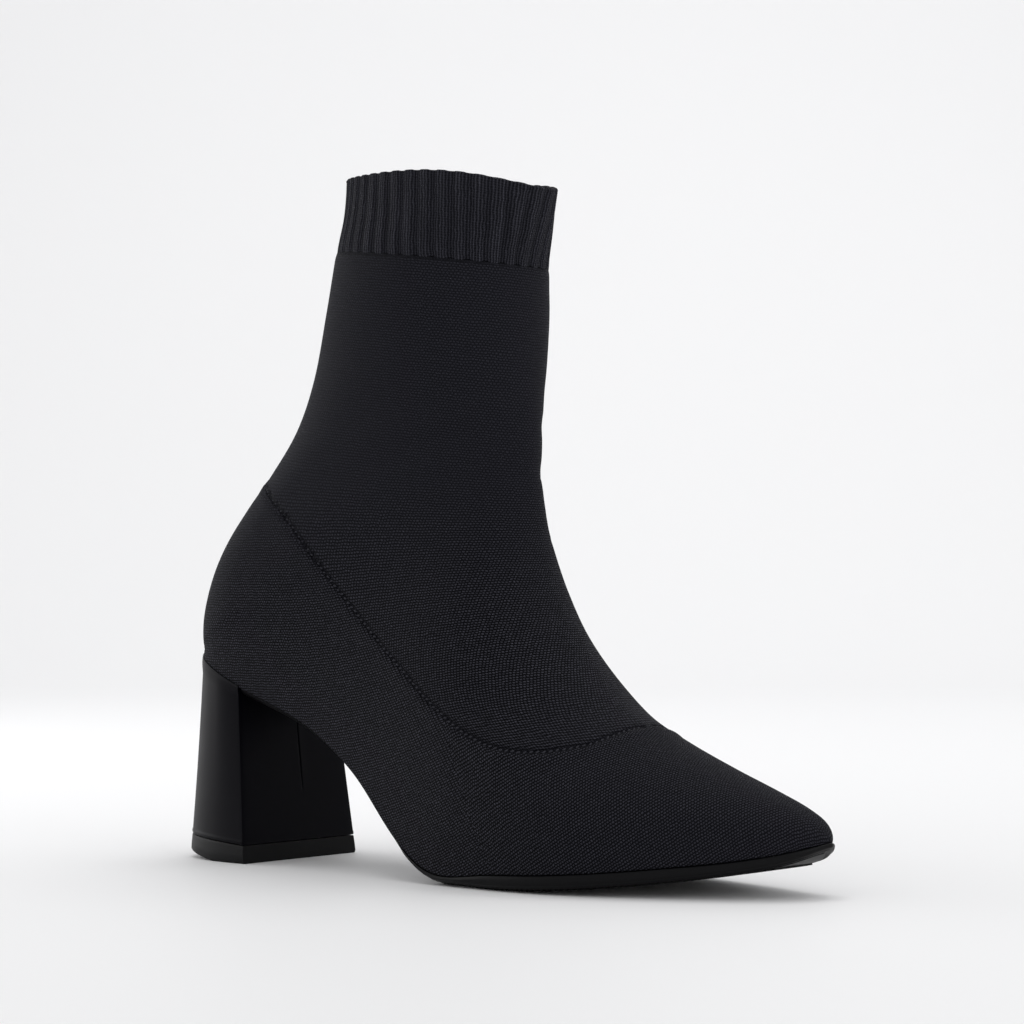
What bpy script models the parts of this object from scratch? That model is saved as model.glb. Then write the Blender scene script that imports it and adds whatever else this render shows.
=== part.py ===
"""Block heel ankle boot for the right foot: a knitted sock upper on a moulded sole and a covered heel.

The frame has +X towards the toe, +Y towards the inner (medial) side and +Z up, with the floor at z = 0
and the origin below the middle of the boot. Sizes below are in millimetres, and the meshes are in metres.
"""

import math

import bmesh
import bpy
import numpy as np

MM = 0.001

# Driving dimensions
LENGTH = 254.0  # from the heel line to the tip of the toe, along the floor
BALL_WIDTH = 80.0  # across the upper at the ball of the foot
HEEL_SEAT = 69.4  # floor to the back of the heel seat
COLLAR_BACK = 231.2  # floor to the collar at the back seam
COLLAR_FRONT = 222.4  # floor to the collar over the shin
COLLAR_BOW = 3.2  # how far the collar rises above a straight line from back to front
BOW_PEAK = 2 / 3  # where along that line it rises most
WALL = 2.0  # knit and lining together
GAP = 0.3  # clearance between pieces that meet

# Upper: the rib-knit cuff is thinner than the shaft, and the back seam stands up as a ridge
CUFF_STEP = 0.5
CUFF_STEP_RUN = 0.02  # rows that the step takes, below and above the cuff line
SEAM_RIDGE = 0.7
SEAM_HALF_WIDTH = 2.6

# Sole: a rounded edge band with a tread plate set in under it
TREAD_PLATE = 0.7
PLATE_INSET = 1.6
SOLE_MARGIN = 0.3  # how far the top of the band stands out past the upper
BAND_BULGE = 0.6  # how far its middle stands out past its top

# Heel block and the rubber lift under it
BREAST_FOOT = 42.0  # station of the breast at the floor
BREAST_TOP = 35.2  # station of the breast at the heel seat
HEEL_BACK_FOOT = 1.2  # station of the back of the heel, at the floor
HEEL_FOOT_MIDDLE = -0.8  # the foot of the heel lies a little to the outer side
HEEL_FOOT_HALF_WIDTH = 26.8
HEEL_ROUNDNESS = 2.9  # superellipse power of the outline on the floor
HEEL_EDGE = 0.8  # rounding of the covered block's edges
LIFT = 6.0  # height of the lift at the breast
LIFT_RISE = 2.6  # how much higher its top is at the back
LIFT_SPRING = 3.2  # its underside is flat at the breast and rises this much to the back
LIFT_FLAT_END = 25.0  # station where the flat part of the underside ends

# Insole board with its sock
INSOLE = 2.0
INSOLE_INSET = 3.2
INSOLE_TOE_ROW = 1.0

# How finely the sections are divided
STEPS_PER_ROW = 2
STEPS_PER_SIDE = 16
SOLE_STEPS_PER_ROW = 3
HEEL_STEPS_PER_SIDE = 14
CURVE_STEPS = 48

# Sections of the last. Each lies in a plane through two points of the side view: its bottom on the feather
# line or the back line, and its top on the vamp or the front line.
#   bottom_x, top_x: stations, in percent of LENGTH      bottom_z, top_z: heights, mm
#   swing: middle of the top, in percent of BALL_WIDTH, towards the inner side
#   out, in: widest half widths from there on the outer and the inner side, in percent of BALL_WIDTH
#   feather_out, feather_in: reach of the bottom edge from the axis, in percent of BALL_WIDTH
#   level: where the section is widest, from bottom 0 to top 1
#   low_out, low_in, high: superellipse powers below that level and above it
COLUMNS = (
    "bottom_x", "bottom_z", "top_x", "top_z", "swing", "out", "in",
    "feather_out", "feather_in", "level", "low_out", "low_in", "high",
)
FOOT = (
    ("toe tip", 100.0, 17.0, 100.0, 17.0, 17.0, 0.0, 0.0, -17.0, 17.0, 0.30, 2.2, 2.2, 2.0),
    ("toe", 98.4, 15.3, 98.4, 23.2, 15.6, 9.8, 9.8, -6.6, 24.6, 0.34, 2.2, 2.2, 2.1),
    ("toe", 95.6, 13.3, 95.6, 27.8, 13.2, 16.8, 16.8, 2.3, 28.7, 0.35, 2.2, 2.2, 2.1),
    ("toe", 91.3, 11.3, 91.3, 32.6, 10.4, 24.0, 24.0, 12.2, 33.0, 0.33, 2.2, 2.2, 2.1),
    ("toe box", 85.0, 9.3, 85.0, 39.2, 7.4, 33.0, 33.0, 24.1, 38.9, 0.30, 2.2, 2.2, 2.0),
    ("vamp", 78.0, 7.4, 78.0, 47.2, 5.2, 41.4, 41.4, 34.6, 45.0, 0.28, 2.2, 2.2, 1.9),
    ("ball", 71.0, 6.0, 71.2, 56.4, 4.0, 47.4, 47.4, 41.6, 49.0, 0.27, 2.2, 2.2, 1.85),
    ("ball", 63.0, 4.9, 65.7, 69.0, 4.0, 50.0, 49.5, 43.8, 45.0, 0.28, 2.2, 1.8, 1.85),
    ("waist", 53.6, 3.6, 61.4, 84.0, 4.8, 50.4, 46.0, 43.0, 27.0, 0.30, 2.2, 1.4, 1.85),
    ("waist", 46.5, 12.8, 58.9, 97.6, 5.2, 47.8, 41.0, 40.8, 13.0, 0.30, 2.2, 1.2, 1.9),
    ("waist", 37.0, 33.2, 57.5, 109.6, 5.0, 43.0, 36.5, 35.2, 8.0, 0.30, 2.2, 1.2, 2.0),
    ("heel", 27.5, 46.8, 57.3, 118.0, 4.2, 40.0, 35.5, 30.8, 11.5, 0.29, 2.2, 1.3, 2.0),
    ("heel", 18.0, 55.6, 57.3, 124.0, 3.4, 38.8, 36.4, 29.2, 22.5, 0.27, 2.2, 1.7, 2.0),
    ("heel", 9.4, 62.8, 57.4, 128.2, 2.6, 38.8, 38.6, 29.6, 31.0, 0.25, 2.2, 2.2, 2.0),
    ("heel", 4.4, 67.4, 57.4, 131.0, 2.2, 39.2, 39.2, 21.8, 25.2, 0.24, 2.2, 2.2, 2.0),
    ("heel back", 2.6, HEEL_SEAT, 57.4, 133.6, 2.2, 39.6, 39.6, -2.2, 2.2, 0.23, 2.2, 2.2, 2.0),
)
# Above the heel seat a section closes at the back seam and has one width, half, to both sides
SHAFT = (
    ("heel", 2.6, 82.0, 57.4, 137.6, 2.6, 39.6, 0.24, 2.2, 2.0),
    ("heel", 4.4, 98.0, 57.3, 142.0, 3.0, 38.6, 0.27, 2.2, 2.0),
    ("tendon", 7.9, 114.0, 57.1, 147.0, 3.4, 36.6, 0.31, 2.1, 2.0),
    ("tendon", 12.8, 129.0, 56.8, 152.6, 4.2, 35.2, 0.37, 2.1, 2.1),
    ("ankle", 17.4, 145.0, 56.3, 159.6, 5.6, 35.2, 0.42, 2.1, 2.1),
    ("shaft", 20.6, 163.0, 55.8, 169.0, 6.8, 36.8, 0.46, 2.1, 2.1),
    ("shaft", 23.0, 185.0, 55.3, 182.6, 7.8, 38.8, 0.48, 2.1, 2.1),
    ("cuff line", 25.0, 206.6, 55.0, 197.8, 7.8, 38.8, 0.50, 2.1, 2.1),
    ("cuff", 25.7, 218.8, 56.6, 210.0, 7.0, 35.0, 0.50, 2.1, 2.1),
    ("collar", 25.6, COLLAR_BACK, 58.4, COLLAR_FRONT, 6.0, 31.0, 0.50, 2.1, 2.1),
)
NAMES = [row[0] for row in FOOT + SHAFT]
TOE_ROW = 0
HEEL_BACK_ROW = NAMES.index("heel back")
CUFF_ROW = NAMES.index("cuff line")
COLLAR_ROW = len(NAMES) - 1

# The sole under those sections, from the toe to the heel
#   station: in percent of LENGTH      depth: band and plate together, mm
#   tuck_out, tuck_in: how far the foot of the band is drawn in under the foot, mm
SOLE_COLUMNS = ("station", "depth", "tuck_out", "tuck_in")
SOLE = (
    (100.0, 2.0, 0.6, 0.6),
    (98.4, 3.0, 0.6, 0.6),
    (91.3, 4.0, 0.5, 0.5),
    (78.0, 4.6, 0.5, 0.5),
    (63.0, 4.6, 0.8, 0.8),
    (54.0, 3.6, 3.0, 1.6),
    (46.5, 3.4, 6.0, 2.4),
    (37.0, 3.4, 6.6, 2.6),
    (27.5, 3.4, 5.6, 2.6),
    (14.0, 3.4, 4.0, 2.6),
    (2.0, 3.4, 4.0, 2.6),
)

# Profile of the sole's edge, from the top of its band down to the foot of the tread plate. The columns are the
# point's name, margin, bulge, tuck, inset, band, plate.
#   margin, bulge: shares of SOLE_MARGIN and BAND_BULGE that a point stands out past the feather line
#   tuck, inset: shares of the tuck and of PLATE_INSET that it is drawn in
#   band, plate: shares of the heights of the band and of the plate that it lies below the top
EDGE = (
    ("top", 1, 0, 0.0, 0, 0.0, 0),
    ("shoulder", 1, 1, 0.15, 0, 0.3, 0),
    ("side", 1, 1, 0.4, 0, 0.6, 0),
    ("turn", 1, 0, 0.7, 0, 0.85, 0),
    ("foot", 0, 0, 1.0, 0, 1.0, 0),
    ("plate top", 0, 0, 1.0, 1, 1.0, 0),
    ("plate foot", 0, 0, 1.0, 1, 1.0, 1),
)

# Finish of each piece: colour, roughness
KNIT_BLACK = ((0.014, 0.014, 0.016), 0.85)
RUBBER_BLACK = ((0.020, 0.020, 0.022), 0.55)
COVER_BLACK = ((0.012, 0.012, 0.014), 0.38)
LIFT_BLACK = ((0.016, 0.016, 0.017), 0.60)
SOCK_BLACK = ((0.020, 0.020, 0.022), 0.70)


def smooth_curve(places, values, at):
    """Cubic through rows of values, with each row's slope taken from its two neighbours."""
    step = np.diff(places)[:, None]
    slope = np.diff(values, axis=0) / step
    tangent = np.empty_like(values)
    tangent[1:-1] = (slope[:-1] * step[1:] + slope[1:] * step[:-1]) / (step[1:] + step[:-1])
    tangent[0] = 2 * slope[0] - tangent[1]
    tangent[-1] = 2 * slope[-1] - tangent[-2]
    row = np.clip(np.searchsorted(places, at) - 1, 0, len(places) - 2)
    width = step[row]
    t = ((at - places[row]) / width[:, 0])[:, None]
    start = (2 * t**3 - 3 * t**2 + 1) * values[row] + (t**3 - 2 * t**2 + t) * width * tangent[row]
    end = (3 * t**2 - 2 * t**3) * values[row + 1] + (t**3 - t**2) * width * tangent[row + 1]
    return start + end


def section_table():
    """All rows in one array: a shaft row is a foot row with equal sides that meet at the back seam."""
    rows = [row[1:] for row in FOOT]
    for _, back_x, back_z, front_x, front_z, swing, half, level, low, high in SHAFT:
        rows.append((back_x, back_z, front_x, front_z, swing, half, half, -swing, swing, level, low, low, high))
    return np.array(rows)


def sections_at(rows):
    """The section sizes in mm at these row numbers, whole or in between. The bottom edge turns a corner at
    the heel back, where the feather line ends and the back seam begins."""
    rows = np.asarray(rows, dtype=float)
    table = section_table()
    places = np.arange(len(table), dtype=float)
    found = smooth_curve(places, table, rows)
    on_foot = rows <= HEEL_BACK_ROW
    for name in ("bottom_x", "bottom_z", "feather_out", "feather_in"):
        column = COLUMNS.index(name)
        values = table[:, column : column + 1]
        foot, shaft = slice(0, HEEL_BACK_ROW + 1), slice(HEEL_BACK_ROW, None)
        found[on_foot, column] = smooth_curve(places[foot], values[foot], rows[on_foot])[:, 0]
        found[~on_foot, column] = smooth_curve(places[shaft], values[shaft], rows[~on_foot])[:, 0]
    sizes = {name: found[:, column] for column, name in enumerate(COLUMNS)}
    for name in ("bottom_x", "top_x"):
        sizes[name] = sizes[name] * LENGTH / 100
    for name in ("swing", "out", "in", "feather_out", "feather_in"):
        sizes[name] = sizes[name] * BALL_WIDTH / 100
    closed = rows >= HEEL_BACK_ROW
    sizes["feather_out"][closed] = -sizes["swing"][closed]
    sizes["feather_in"][closed] = sizes["swing"][closed]
    sizes["bow"] = COLLAR_BOW * np.clip((rows - CUFF_ROW) / (COLLAR_ROW - CUFF_ROW), 0, 1)
    return sizes


def row_at_station(station):
    """The row number, between the toe and the heel back, whose bottom is at this station."""
    rows = np.linspace(HEEL_BACK_ROW, TOE_ROW, 600)
    return float(np.interp(station, sections_at(rows)["bottom_x"], rows))


def feather_height(stations):
    """Height of the feather line at these stations."""
    sizes = sections_at(np.linspace(HEEL_BACK_ROW, TOE_ROW, 600))
    return np.interp(stations, sizes["bottom_x"], sizes["bottom_z"])


def along(points, lengths):
    """Points at these distances along a line of points."""
    steps = np.linalg.norm(np.diff(points, axis=0), axis=1)
    run = np.concatenate([[0], np.cumsum(steps)])
    return np.stack([np.interp(lengths, run, points[:, axis]) for axis in range(points.shape[1])], axis=1)


def line_length(points):
    return float(np.linalg.norm(np.diff(points, axis=0), axis=1).sum())


def half_section(size, side):
    """One side of a section, from its bottom to its top. side is -1 on the outer side and +1 on the inner."""
    turn = np.linspace(0, math.pi / 2, CURVE_STEPS + 1)
    where = "out" if side < 0 else "in"
    level, low, high = size["level"], size["low_" + where], size["high"]
    half = max(size[where], 0.001)
    foot = np.clip(size["feather_" + where] - side * size["swing"], 0, half)
    below = level * (1 - np.cos(turn))
    above = level + (1 - level) * np.sin(turn[1:])
    flare = 1 - (foot / half) ** low
    wide_below = np.maximum(1 - flare * ((level - below) / level) ** low, 0) ** (1 / low)
    wide_above = np.maximum(1 - ((above - level) / (1 - level)) ** high, 0) ** (1 / high)
    share = np.concatenate([below, above])
    wide = np.concatenate([wide_below, wide_above])
    x = size["bottom_x"] + (size["top_x"] - size["bottom_x"]) * share
    y = size["swing"] + side * half * wide
    z = size["bottom_z"] + (size["top_z"] - size["bottom_z"]) * share
    z = z + size["bow"] * share**2 * (1 - share) / (BOW_PEAK**2 * (1 - BOW_PEAK))
    points = np.stack([x, y, z], axis=1)
    length = line_length(points)
    first = min(SEAM_HALF_WIDTH, length / STEPS_PER_SIDE)
    return along(points, np.concatenate([[0], np.linspace(first, length, STEPS_PER_SIDE)]))


def upper_rows():
    """Row numbers of the upper's sections, with a close pair at the cuff line for the step there."""
    rows = np.arange(0, COLLAR_ROW * STEPS_PER_ROW + 1) / STEPS_PER_ROW
    rows = rows[rows != CUFF_ROW]
    return np.sort(np.concatenate([rows, [CUFF_ROW - CUFF_STEP_RUN, CUFF_ROW + CUFF_STEP_RUN]]))


def upper_grid(rows):
    """Outer face of the upper: a loop of points for each section, from the outer side over to the inner."""
    sizes = sections_at(rows)
    grid = []
    for number in range(len(rows)):
        size = {name: values[number] for name, values in sizes.items()}
        outer, inner = half_section(size, -1), half_section(size, +1)
        grid.append(np.concatenate([outer, inner[-2::-1]]))
    return np.array(grid)


def grid_normals(grid):
    """Outward directions of a grid of points."""
    down = np.gradient(grid, axis=0)
    across = np.gradient(grid, axis=1)
    normal = np.cross(down, across)
    size = np.linalg.norm(normal, axis=2, keepdims=True)
    return normal / np.maximum(size, 1e-9)


def raised_seam_and_cuff(grid, rows):
    """The grid with its back seam raised and its cuff set in."""
    normal = grid_normals(grid)
    centre = grid.mean(axis=1, keepdims=True)
    normal *= np.sign((normal * (grid - centre)).sum(axis=2, keepdims=True))
    lift = np.zeros(grid.shape[:2])
    lift[rows > CUFF_ROW] -= CUFF_STEP
    on_seam = rows >= HEEL_BACK_ROW
    back = np.array([-1.0, 0.0, 0.0])
    for column in (0, -1):
        normal[on_seam, column] = back
        lift[on_seam, column] += SEAM_RIDGE * np.clip(rows[on_seam] - HEEL_BACK_ROW, 0, 1)
    return grid + normal * lift[:, :, None]


def new_object(name, mesh, finish):
    """An object with its own material, linked to the scene."""
    colour, roughness = finish
    material = bpy.data.materials.new(name)
    material.use_nodes = True
    shader = material.node_tree.nodes["Principled BSDF"]
    shader.inputs["Base Color"].default_value = (*colour, 1)
    shader.inputs["Roughness"].default_value = roughness
    shader.inputs["Metallic"].default_value = 0
    mesh.materials.append(material)
    made = bpy.data.objects.new(name, mesh)
    bpy.context.scene.collection.objects.link(made)
    return made


def mesh_from(name, points, faces, smooth_angle):
    """A mesh of these points in mm, with points that coincide made one and its faces turned outwards."""
    shape = bmesh.new()
    made = [shape.verts.new(point * MM) for point in points]
    for face in faces:
        shape.faces.new([made[corner] for corner in face])
    bmesh.ops.remove_doubles(shape, verts=shape.verts, dist=0.002 * MM)
    bmesh.ops.dissolve_degenerate(shape, edges=shape.edges, dist=0.002 * MM)
    bmesh.ops.recalc_face_normals(shape, faces=shape.faces)
    mesh = bpy.data.meshes.new(name)
    shape.to_mesh(mesh)
    shape.free()
    mesh.shade_smooth()
    mesh.set_sharp_from_angle(angle=math.radians(smooth_angle))
    return mesh


def strip_faces(rows, columns, closed):
    """Quads of a grid of points numbered row by row; closed joins the last column to the first."""
    faces = []
    for row in range(rows - 1):
        for column in range(columns if closed else columns - 1):
            following = (column + 1) % columns
            a, b = row * columns + column, row * columns + following
            faces.append((a, b, b + columns, a + columns))
    return faces


def make_upper():
    """The knitted sock: one wall, open at the collar and along the feather line underneath."""
    rows = upper_rows()
    grid = raised_seam_and_cuff(upper_grid(rows), rows)
    faces = strip_faces(*grid.shape[:2], closed=False)
    mesh = mesh_from("upper", grid.reshape(-1, 3), faces, smooth_angle=60)
    upper = new_object("upper", mesh, KNIT_BLACK)
    wall = upper.modifiers.new("wall", "SOLIDIFY")
    wall.thickness = WALL * MM
    wall.offset = -1
    wall.use_even_offset = True
    wall.use_quality_normals = True
    return upper


def feather_outline(rows):
    """Plan of the feather line: its outer and inner points, and the outward directions there."""
    sizes = sections_at(rows)
    sides = []
    for side, reach in ((-1, sizes["feather_out"]), (1, sizes["feather_in"])):
        line = np.stack([sizes["bottom_x"], side * reach], axis=1)
        run = np.gradient(line, axis=0)
        out = np.stack([run[:, 1], -run[:, 0]], axis=1) * side
        if rows[0] == TOE_ROW:
            out[0] = (1, 0)
        if rows[-1] == HEEL_BACK_ROW:
            out[-1] = (-1, 0)
        sides.append((line, out / np.linalg.norm(out, axis=1, keepdims=True)))
    return sides


def loft_across(rings):
    """Points and faces of a solid from closed rings of points, the two end rings filled."""
    rings = np.array(rings)
    count, size = rings.shape[:2]
    faces = strip_faces(count, size, closed=True)
    last = (count - 1) * size
    faces += [tuple(range(size - 1, -1, -1)), tuple(range(last, last + size))]
    return rings.reshape(-1, 3), faces


def breast_station(height):
    """Station of the heel's breast at this height: it leans forward towards the floor."""
    return BREAST_FOOT + (BREAST_TOP - BREAST_FOOT) * height / HEEL_SEAT


def sole_sizes(stations):
    """Depth and tucks of the sole at these stations."""
    table = np.array(SOLE)[::-1]
    found = smooth_curve(table[:, 0] * LENGTH / 100, table[:, 1:], np.asarray(stations))
    return {name: found[:, column] for column, name in enumerate(SOLE_COLUMNS[1:])}


def make_outsole():
    """The moulded sole, from the toe to the heel breast, flat on the floor under the ball."""
    end = row_at_station(breast_station(HEEL_SEAT) + GAP)
    rows = np.append(np.arange(0, end, 1 / SOLE_STEPS_PER_ROW), end)
    sides = feather_outline(rows)
    sizes = sole_sizes(sides[0][0][:, 0])
    rings = []
    for number in range(len(rows)):
        ring = []
        for (line, out), tuck, order in zip(sides, ("tuck_out", "tuck_in"), (1, -1)):
            for _, margin, bulge, tucked, inset, band_share, plate_share in EDGE[::order]:
                reach = margin * SOLE_MARGIN + bulge * BAND_BULGE
                reach -= tucked * sizes[tuck][number] + inset * PLATE_INSET
                x, y = line[number] + reach * out[number]
                if number == len(rows) - 1:
                    x = breast_station(feather_height(x)) + GAP
                top = feather_height(x) - GAP
                plate_foot = max(top - sizes["depth"][number], 0)
                band = top - plate_foot - TREAD_PLATE
                ring.append((x, y, top - band_share * band - plate_share * TREAD_PLATE))
        rings.append(ring)
    points, faces = loft_across(rings)
    return new_object("outsole", mesh_from("outsole", points, faces, smooth_angle=40), RUBBER_BLACK)


def heel_edges():
    """Matching points of the heel's outline on the floor and at the heel seat, from the outer breast corner
    round the back to the inner one."""
    start = row_at_station(BREAST_TOP)
    rows = np.linspace(start, HEEL_BACK_ROW, CURVE_STEPS)
    sides = feather_outline(rows)
    turn = np.linspace(math.pi / 2, 0, CURVE_STEPS)
    depth = BREAST_FOOT - HEEL_BACK_FOOT
    foot_x = BREAST_FOOT - depth * np.cos(turn) ** (2 / HEEL_ROUNDNESS)
    foot_y = HEEL_FOOT_HALF_WIDTH * np.sin(turn) ** (2 / HEEL_ROUNDNESS)
    foot, seat = [], []
    for side, (line, _) in zip((-1, 1), sides):
        upper_edge = np.column_stack([line, feather_height(line[:, 0]) - GAP])
        lower_edge = np.column_stack([foot_x, HEEL_FOOT_MIDDLE + side * foot_y, np.zeros(CURVE_STEPS)])
        for edge, found in ((upper_edge, seat), (lower_edge, foot)):
            found.append(along(edge, np.linspace(0, line_length(edge), HEEL_STEPS_PER_SIDE + 1)))
    return [np.concatenate([pair[0], pair[1][-2::-1]]) for pair in (foot, seat)]


def heel_ring(heights):
    """Outline of the heel at these heights, on the straight lines from its foot to its seat."""
    foot, seat = heel_edges()
    return foot + (seat - foot) * (heights / seat[:, 2])[:, None]


def lift_heights():
    """Heights of the lift's underside and of its top, at each point of the heel's outline."""
    station = heel_edges()[0][:, 0]
    back_share = (BREAST_FOOT - station) / (BREAST_FOOT - HEEL_BACK_FOOT)
    spring_share = np.clip((LIFT_FLAT_END - station) / (LIFT_FLAT_END - HEEL_BACK_FOOT), 0, 1)
    return LIFT_SPRING * spring_share, LIFT + LIFT_RISE * back_share


def bridged_solid(name, lower, upper, finish):
    """A solid between two outlines, each closed across from its outer to its inner side."""
    count = len(lower)
    points = np.concatenate([lower, upper])
    faces = strip_faces(2, count, closed=True)
    for start in (0, count):
        for step in range(count // 2 - 1):
            near, far = start + step, start + count - 1 - step
            faces.append((near, near + 1, far - 1, far))
        middle = start + count // 2
        faces.append((middle - 1, middle, middle + 1))
    return new_object(name, mesh_from(name, points, faces, smooth_angle=35), finish)


def make_heel_block():
    """The covered block, with a flat breast and a rounded back, widening towards the floor."""
    _, seat = heel_edges()
    _, lift_top = lift_heights()
    block = bridged_solid("heel_block", heel_ring(lift_top + GAP), seat, COVER_BLACK)
    rounding = block.modifiers.new("rounding", "BEVEL")
    rounding.width = HEEL_EDGE * MM
    rounding.segments = 2
    rounding.limit_method = "ANGLE"
    rounding.angle_limit = math.radians(50)
    return block


def make_heel_lift():
    """The rubber lift that the heel stands on."""
    underside, lift_top = lift_heights()
    return bridged_solid("heel_lift", heel_ring(underside), heel_ring(lift_top), LIFT_BLACK)


def make_insole():
    """The insole, inside the wall of the upper and on the sole and the heel seat."""
    steps = int(HEEL_BACK_ROW - INSOLE_TOE_ROW) * SOLE_STEPS_PER_ROW
    rows = np.linspace(INSOLE_TOE_ROW, HEEL_BACK_ROW, steps + 1)
    edges = []
    for line, out in feather_outline(rows):
        plan = line - INSOLE_INSET * out
        edges.append(np.column_stack([plan, feather_height(plan[:, 0])]))
    upwards = np.array([0, 0, INSOLE])
    rings = [(outer, inner, inner + upwards, outer + upwards) for outer, inner in zip(*edges)]
    points, faces = loft_across(rings)
    return new_object("insole", mesh_from("insole", points, faces, smooth_angle=40), SOCK_BLACK)


def stand_on_origin(pieces):
    """Moves every piece alike, so that the origin is on the floor below the middle of the boot."""
    bpy.context.view_layer.update()
    graph = bpy.context.evaluated_depsgraph_get()
    corners = []
    for piece in pieces:
        solid = piece.evaluated_get(graph)
        corners += [solid.matrix_world @ vertex.co for vertex in solid.data.vertices]
    corners = np.array(corners)
    low, high = corners.min(axis=0), corners.max(axis=0)
    middle = (low + high) / 2
    for piece in pieces:
        for vertex in piece.data.vertices:
            vertex.co.x -= middle[0]
            vertex.co.y -= middle[1]
            vertex.co.z -= low[2]


def main():
    for old in list(bpy.data.objects):
        bpy.data.objects.remove(old, do_unlink=True)
    stand_on_origin([make_upper(), make_outsole(), make_heel_block(), make_heel_lift(), make_insole()])


main()
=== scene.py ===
"""Looks of a block heel ankle boot: black knitted upper with ribbed cuff, moulded sole and covered heel.

Lengths in the tables are millimetres in the last's own frame: stations run from the heel to the toe, the
inner side of the foot is +Y and the floor is z = 0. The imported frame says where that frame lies.
"""

import math

import bmesh
import bpy
import numpy as np
from bpy.props import FloatProperty, FloatVectorProperty, IntProperty, PointerProperty
from mathutils import Euler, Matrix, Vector


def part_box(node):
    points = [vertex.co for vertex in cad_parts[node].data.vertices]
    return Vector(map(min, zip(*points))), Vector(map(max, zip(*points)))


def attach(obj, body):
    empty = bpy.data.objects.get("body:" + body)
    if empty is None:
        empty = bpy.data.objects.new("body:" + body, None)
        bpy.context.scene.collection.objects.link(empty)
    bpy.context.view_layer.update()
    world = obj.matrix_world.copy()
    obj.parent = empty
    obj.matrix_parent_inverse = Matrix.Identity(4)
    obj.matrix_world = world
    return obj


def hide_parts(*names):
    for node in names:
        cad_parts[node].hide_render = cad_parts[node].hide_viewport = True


bl_info = {
    "name": "Block heel ankle boot",
    "version": (1, 0, 0),
    "blender": (4, 5, 0),
    "location": "3D View > Sidebar > Boot",
    "description": "Dresses the solids of a block heel ankle boot in knit, rubber and covered heel",
    "category": "Object",
}

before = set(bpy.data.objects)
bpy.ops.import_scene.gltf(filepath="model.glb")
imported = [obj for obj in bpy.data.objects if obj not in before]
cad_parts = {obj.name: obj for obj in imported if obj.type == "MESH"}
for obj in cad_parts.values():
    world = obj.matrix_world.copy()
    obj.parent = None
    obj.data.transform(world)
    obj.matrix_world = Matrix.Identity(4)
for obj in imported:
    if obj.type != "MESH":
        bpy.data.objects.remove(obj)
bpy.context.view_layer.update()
MM = 0.001

# The last, as the solids have it
LENGTH = 254.0  # heel line to toe tip
BALL_WIDTH = 80.0
HEEL_SEAT = 69.4
COLLAR_BACK = 231.2
COLLAR_FRONT = 222.4
COLLAR_BOW = 3.2  # rise of the collar above a straight line from back to front
BOW_PEAK = 2 / 3
WALL = 2.0
GAP = 0.3
CUFF_STEP = 0.5
COLUMNS = (
    "bottom_x", "bottom_z", "top_x", "top_z", "swing", "out", "in",
    "feather_out", "feather_in", "level", "low_out", "low_in", "high",
)
FOOT = (
    ("toe tip", 100.0, 17.0, 100.0, 17.0, 17.0, 0.0, 0.0, -17.0, 17.0, 0.30, 2.2, 2.2, 2.0),
    ("toe", 98.4, 15.3, 98.4, 23.2, 15.6, 9.8, 9.8, -6.6, 24.6, 0.34, 2.2, 2.2, 2.1),
    ("toe", 95.6, 13.3, 95.6, 27.8, 13.2, 16.8, 16.8, 2.3, 28.7, 0.35, 2.2, 2.2, 2.1),
    ("toe", 91.3, 11.3, 91.3, 32.6, 10.4, 24.0, 24.0, 12.2, 33.0, 0.33, 2.2, 2.2, 2.1),
    ("toe box", 85.0, 9.3, 85.0, 39.2, 7.4, 33.0, 33.0, 24.1, 38.9, 0.30, 2.2, 2.2, 2.0),
    ("vamp", 78.0, 7.4, 78.0, 47.2, 5.2, 41.4, 41.4, 34.6, 45.0, 0.28, 2.2, 2.2, 1.9),
    ("ball", 71.0, 6.0, 71.2, 56.4, 4.0, 47.4, 47.4, 41.6, 49.0, 0.27, 2.2, 2.2, 1.85),
    ("ball", 63.0, 4.9, 65.7, 69.0, 4.0, 50.0, 49.5, 43.8, 45.0, 0.28, 2.2, 1.8, 1.85),
    ("waist", 53.6, 3.6, 61.4, 84.0, 4.8, 50.4, 46.0, 43.0, 27.0, 0.30, 2.2, 1.4, 1.85),
    ("waist", 46.5, 12.8, 58.9, 97.6, 5.2, 47.8, 41.0, 40.8, 13.0, 0.30, 2.2, 1.2, 1.9),
    ("waist", 37.0, 33.2, 57.5, 109.6, 5.0, 43.0, 36.5, 35.2, 8.0, 0.30, 2.2, 1.2, 2.0),
    ("heel", 27.5, 46.8, 57.3, 118.0, 4.2, 40.0, 35.5, 30.8, 11.5, 0.29, 2.2, 1.3, 2.0),
    ("heel", 18.0, 55.6, 57.3, 124.0, 3.4, 38.8, 36.4, 29.2, 22.5, 0.27, 2.2, 1.7, 2.0),
    ("heel", 9.4, 62.8, 57.4, 128.2, 2.6, 38.8, 38.6, 29.6, 31.0, 0.25, 2.2, 2.2, 2.0),
    ("heel", 4.4, 67.4, 57.4, 131.0, 2.2, 39.2, 39.2, 21.8, 25.2, 0.24, 2.2, 2.2, 2.0),
    ("heel back", 2.6, HEEL_SEAT, 57.4, 133.6, 2.2, 39.6, 39.6, -2.2, 2.2, 0.23, 2.2, 2.2, 2.0),
)
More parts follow.
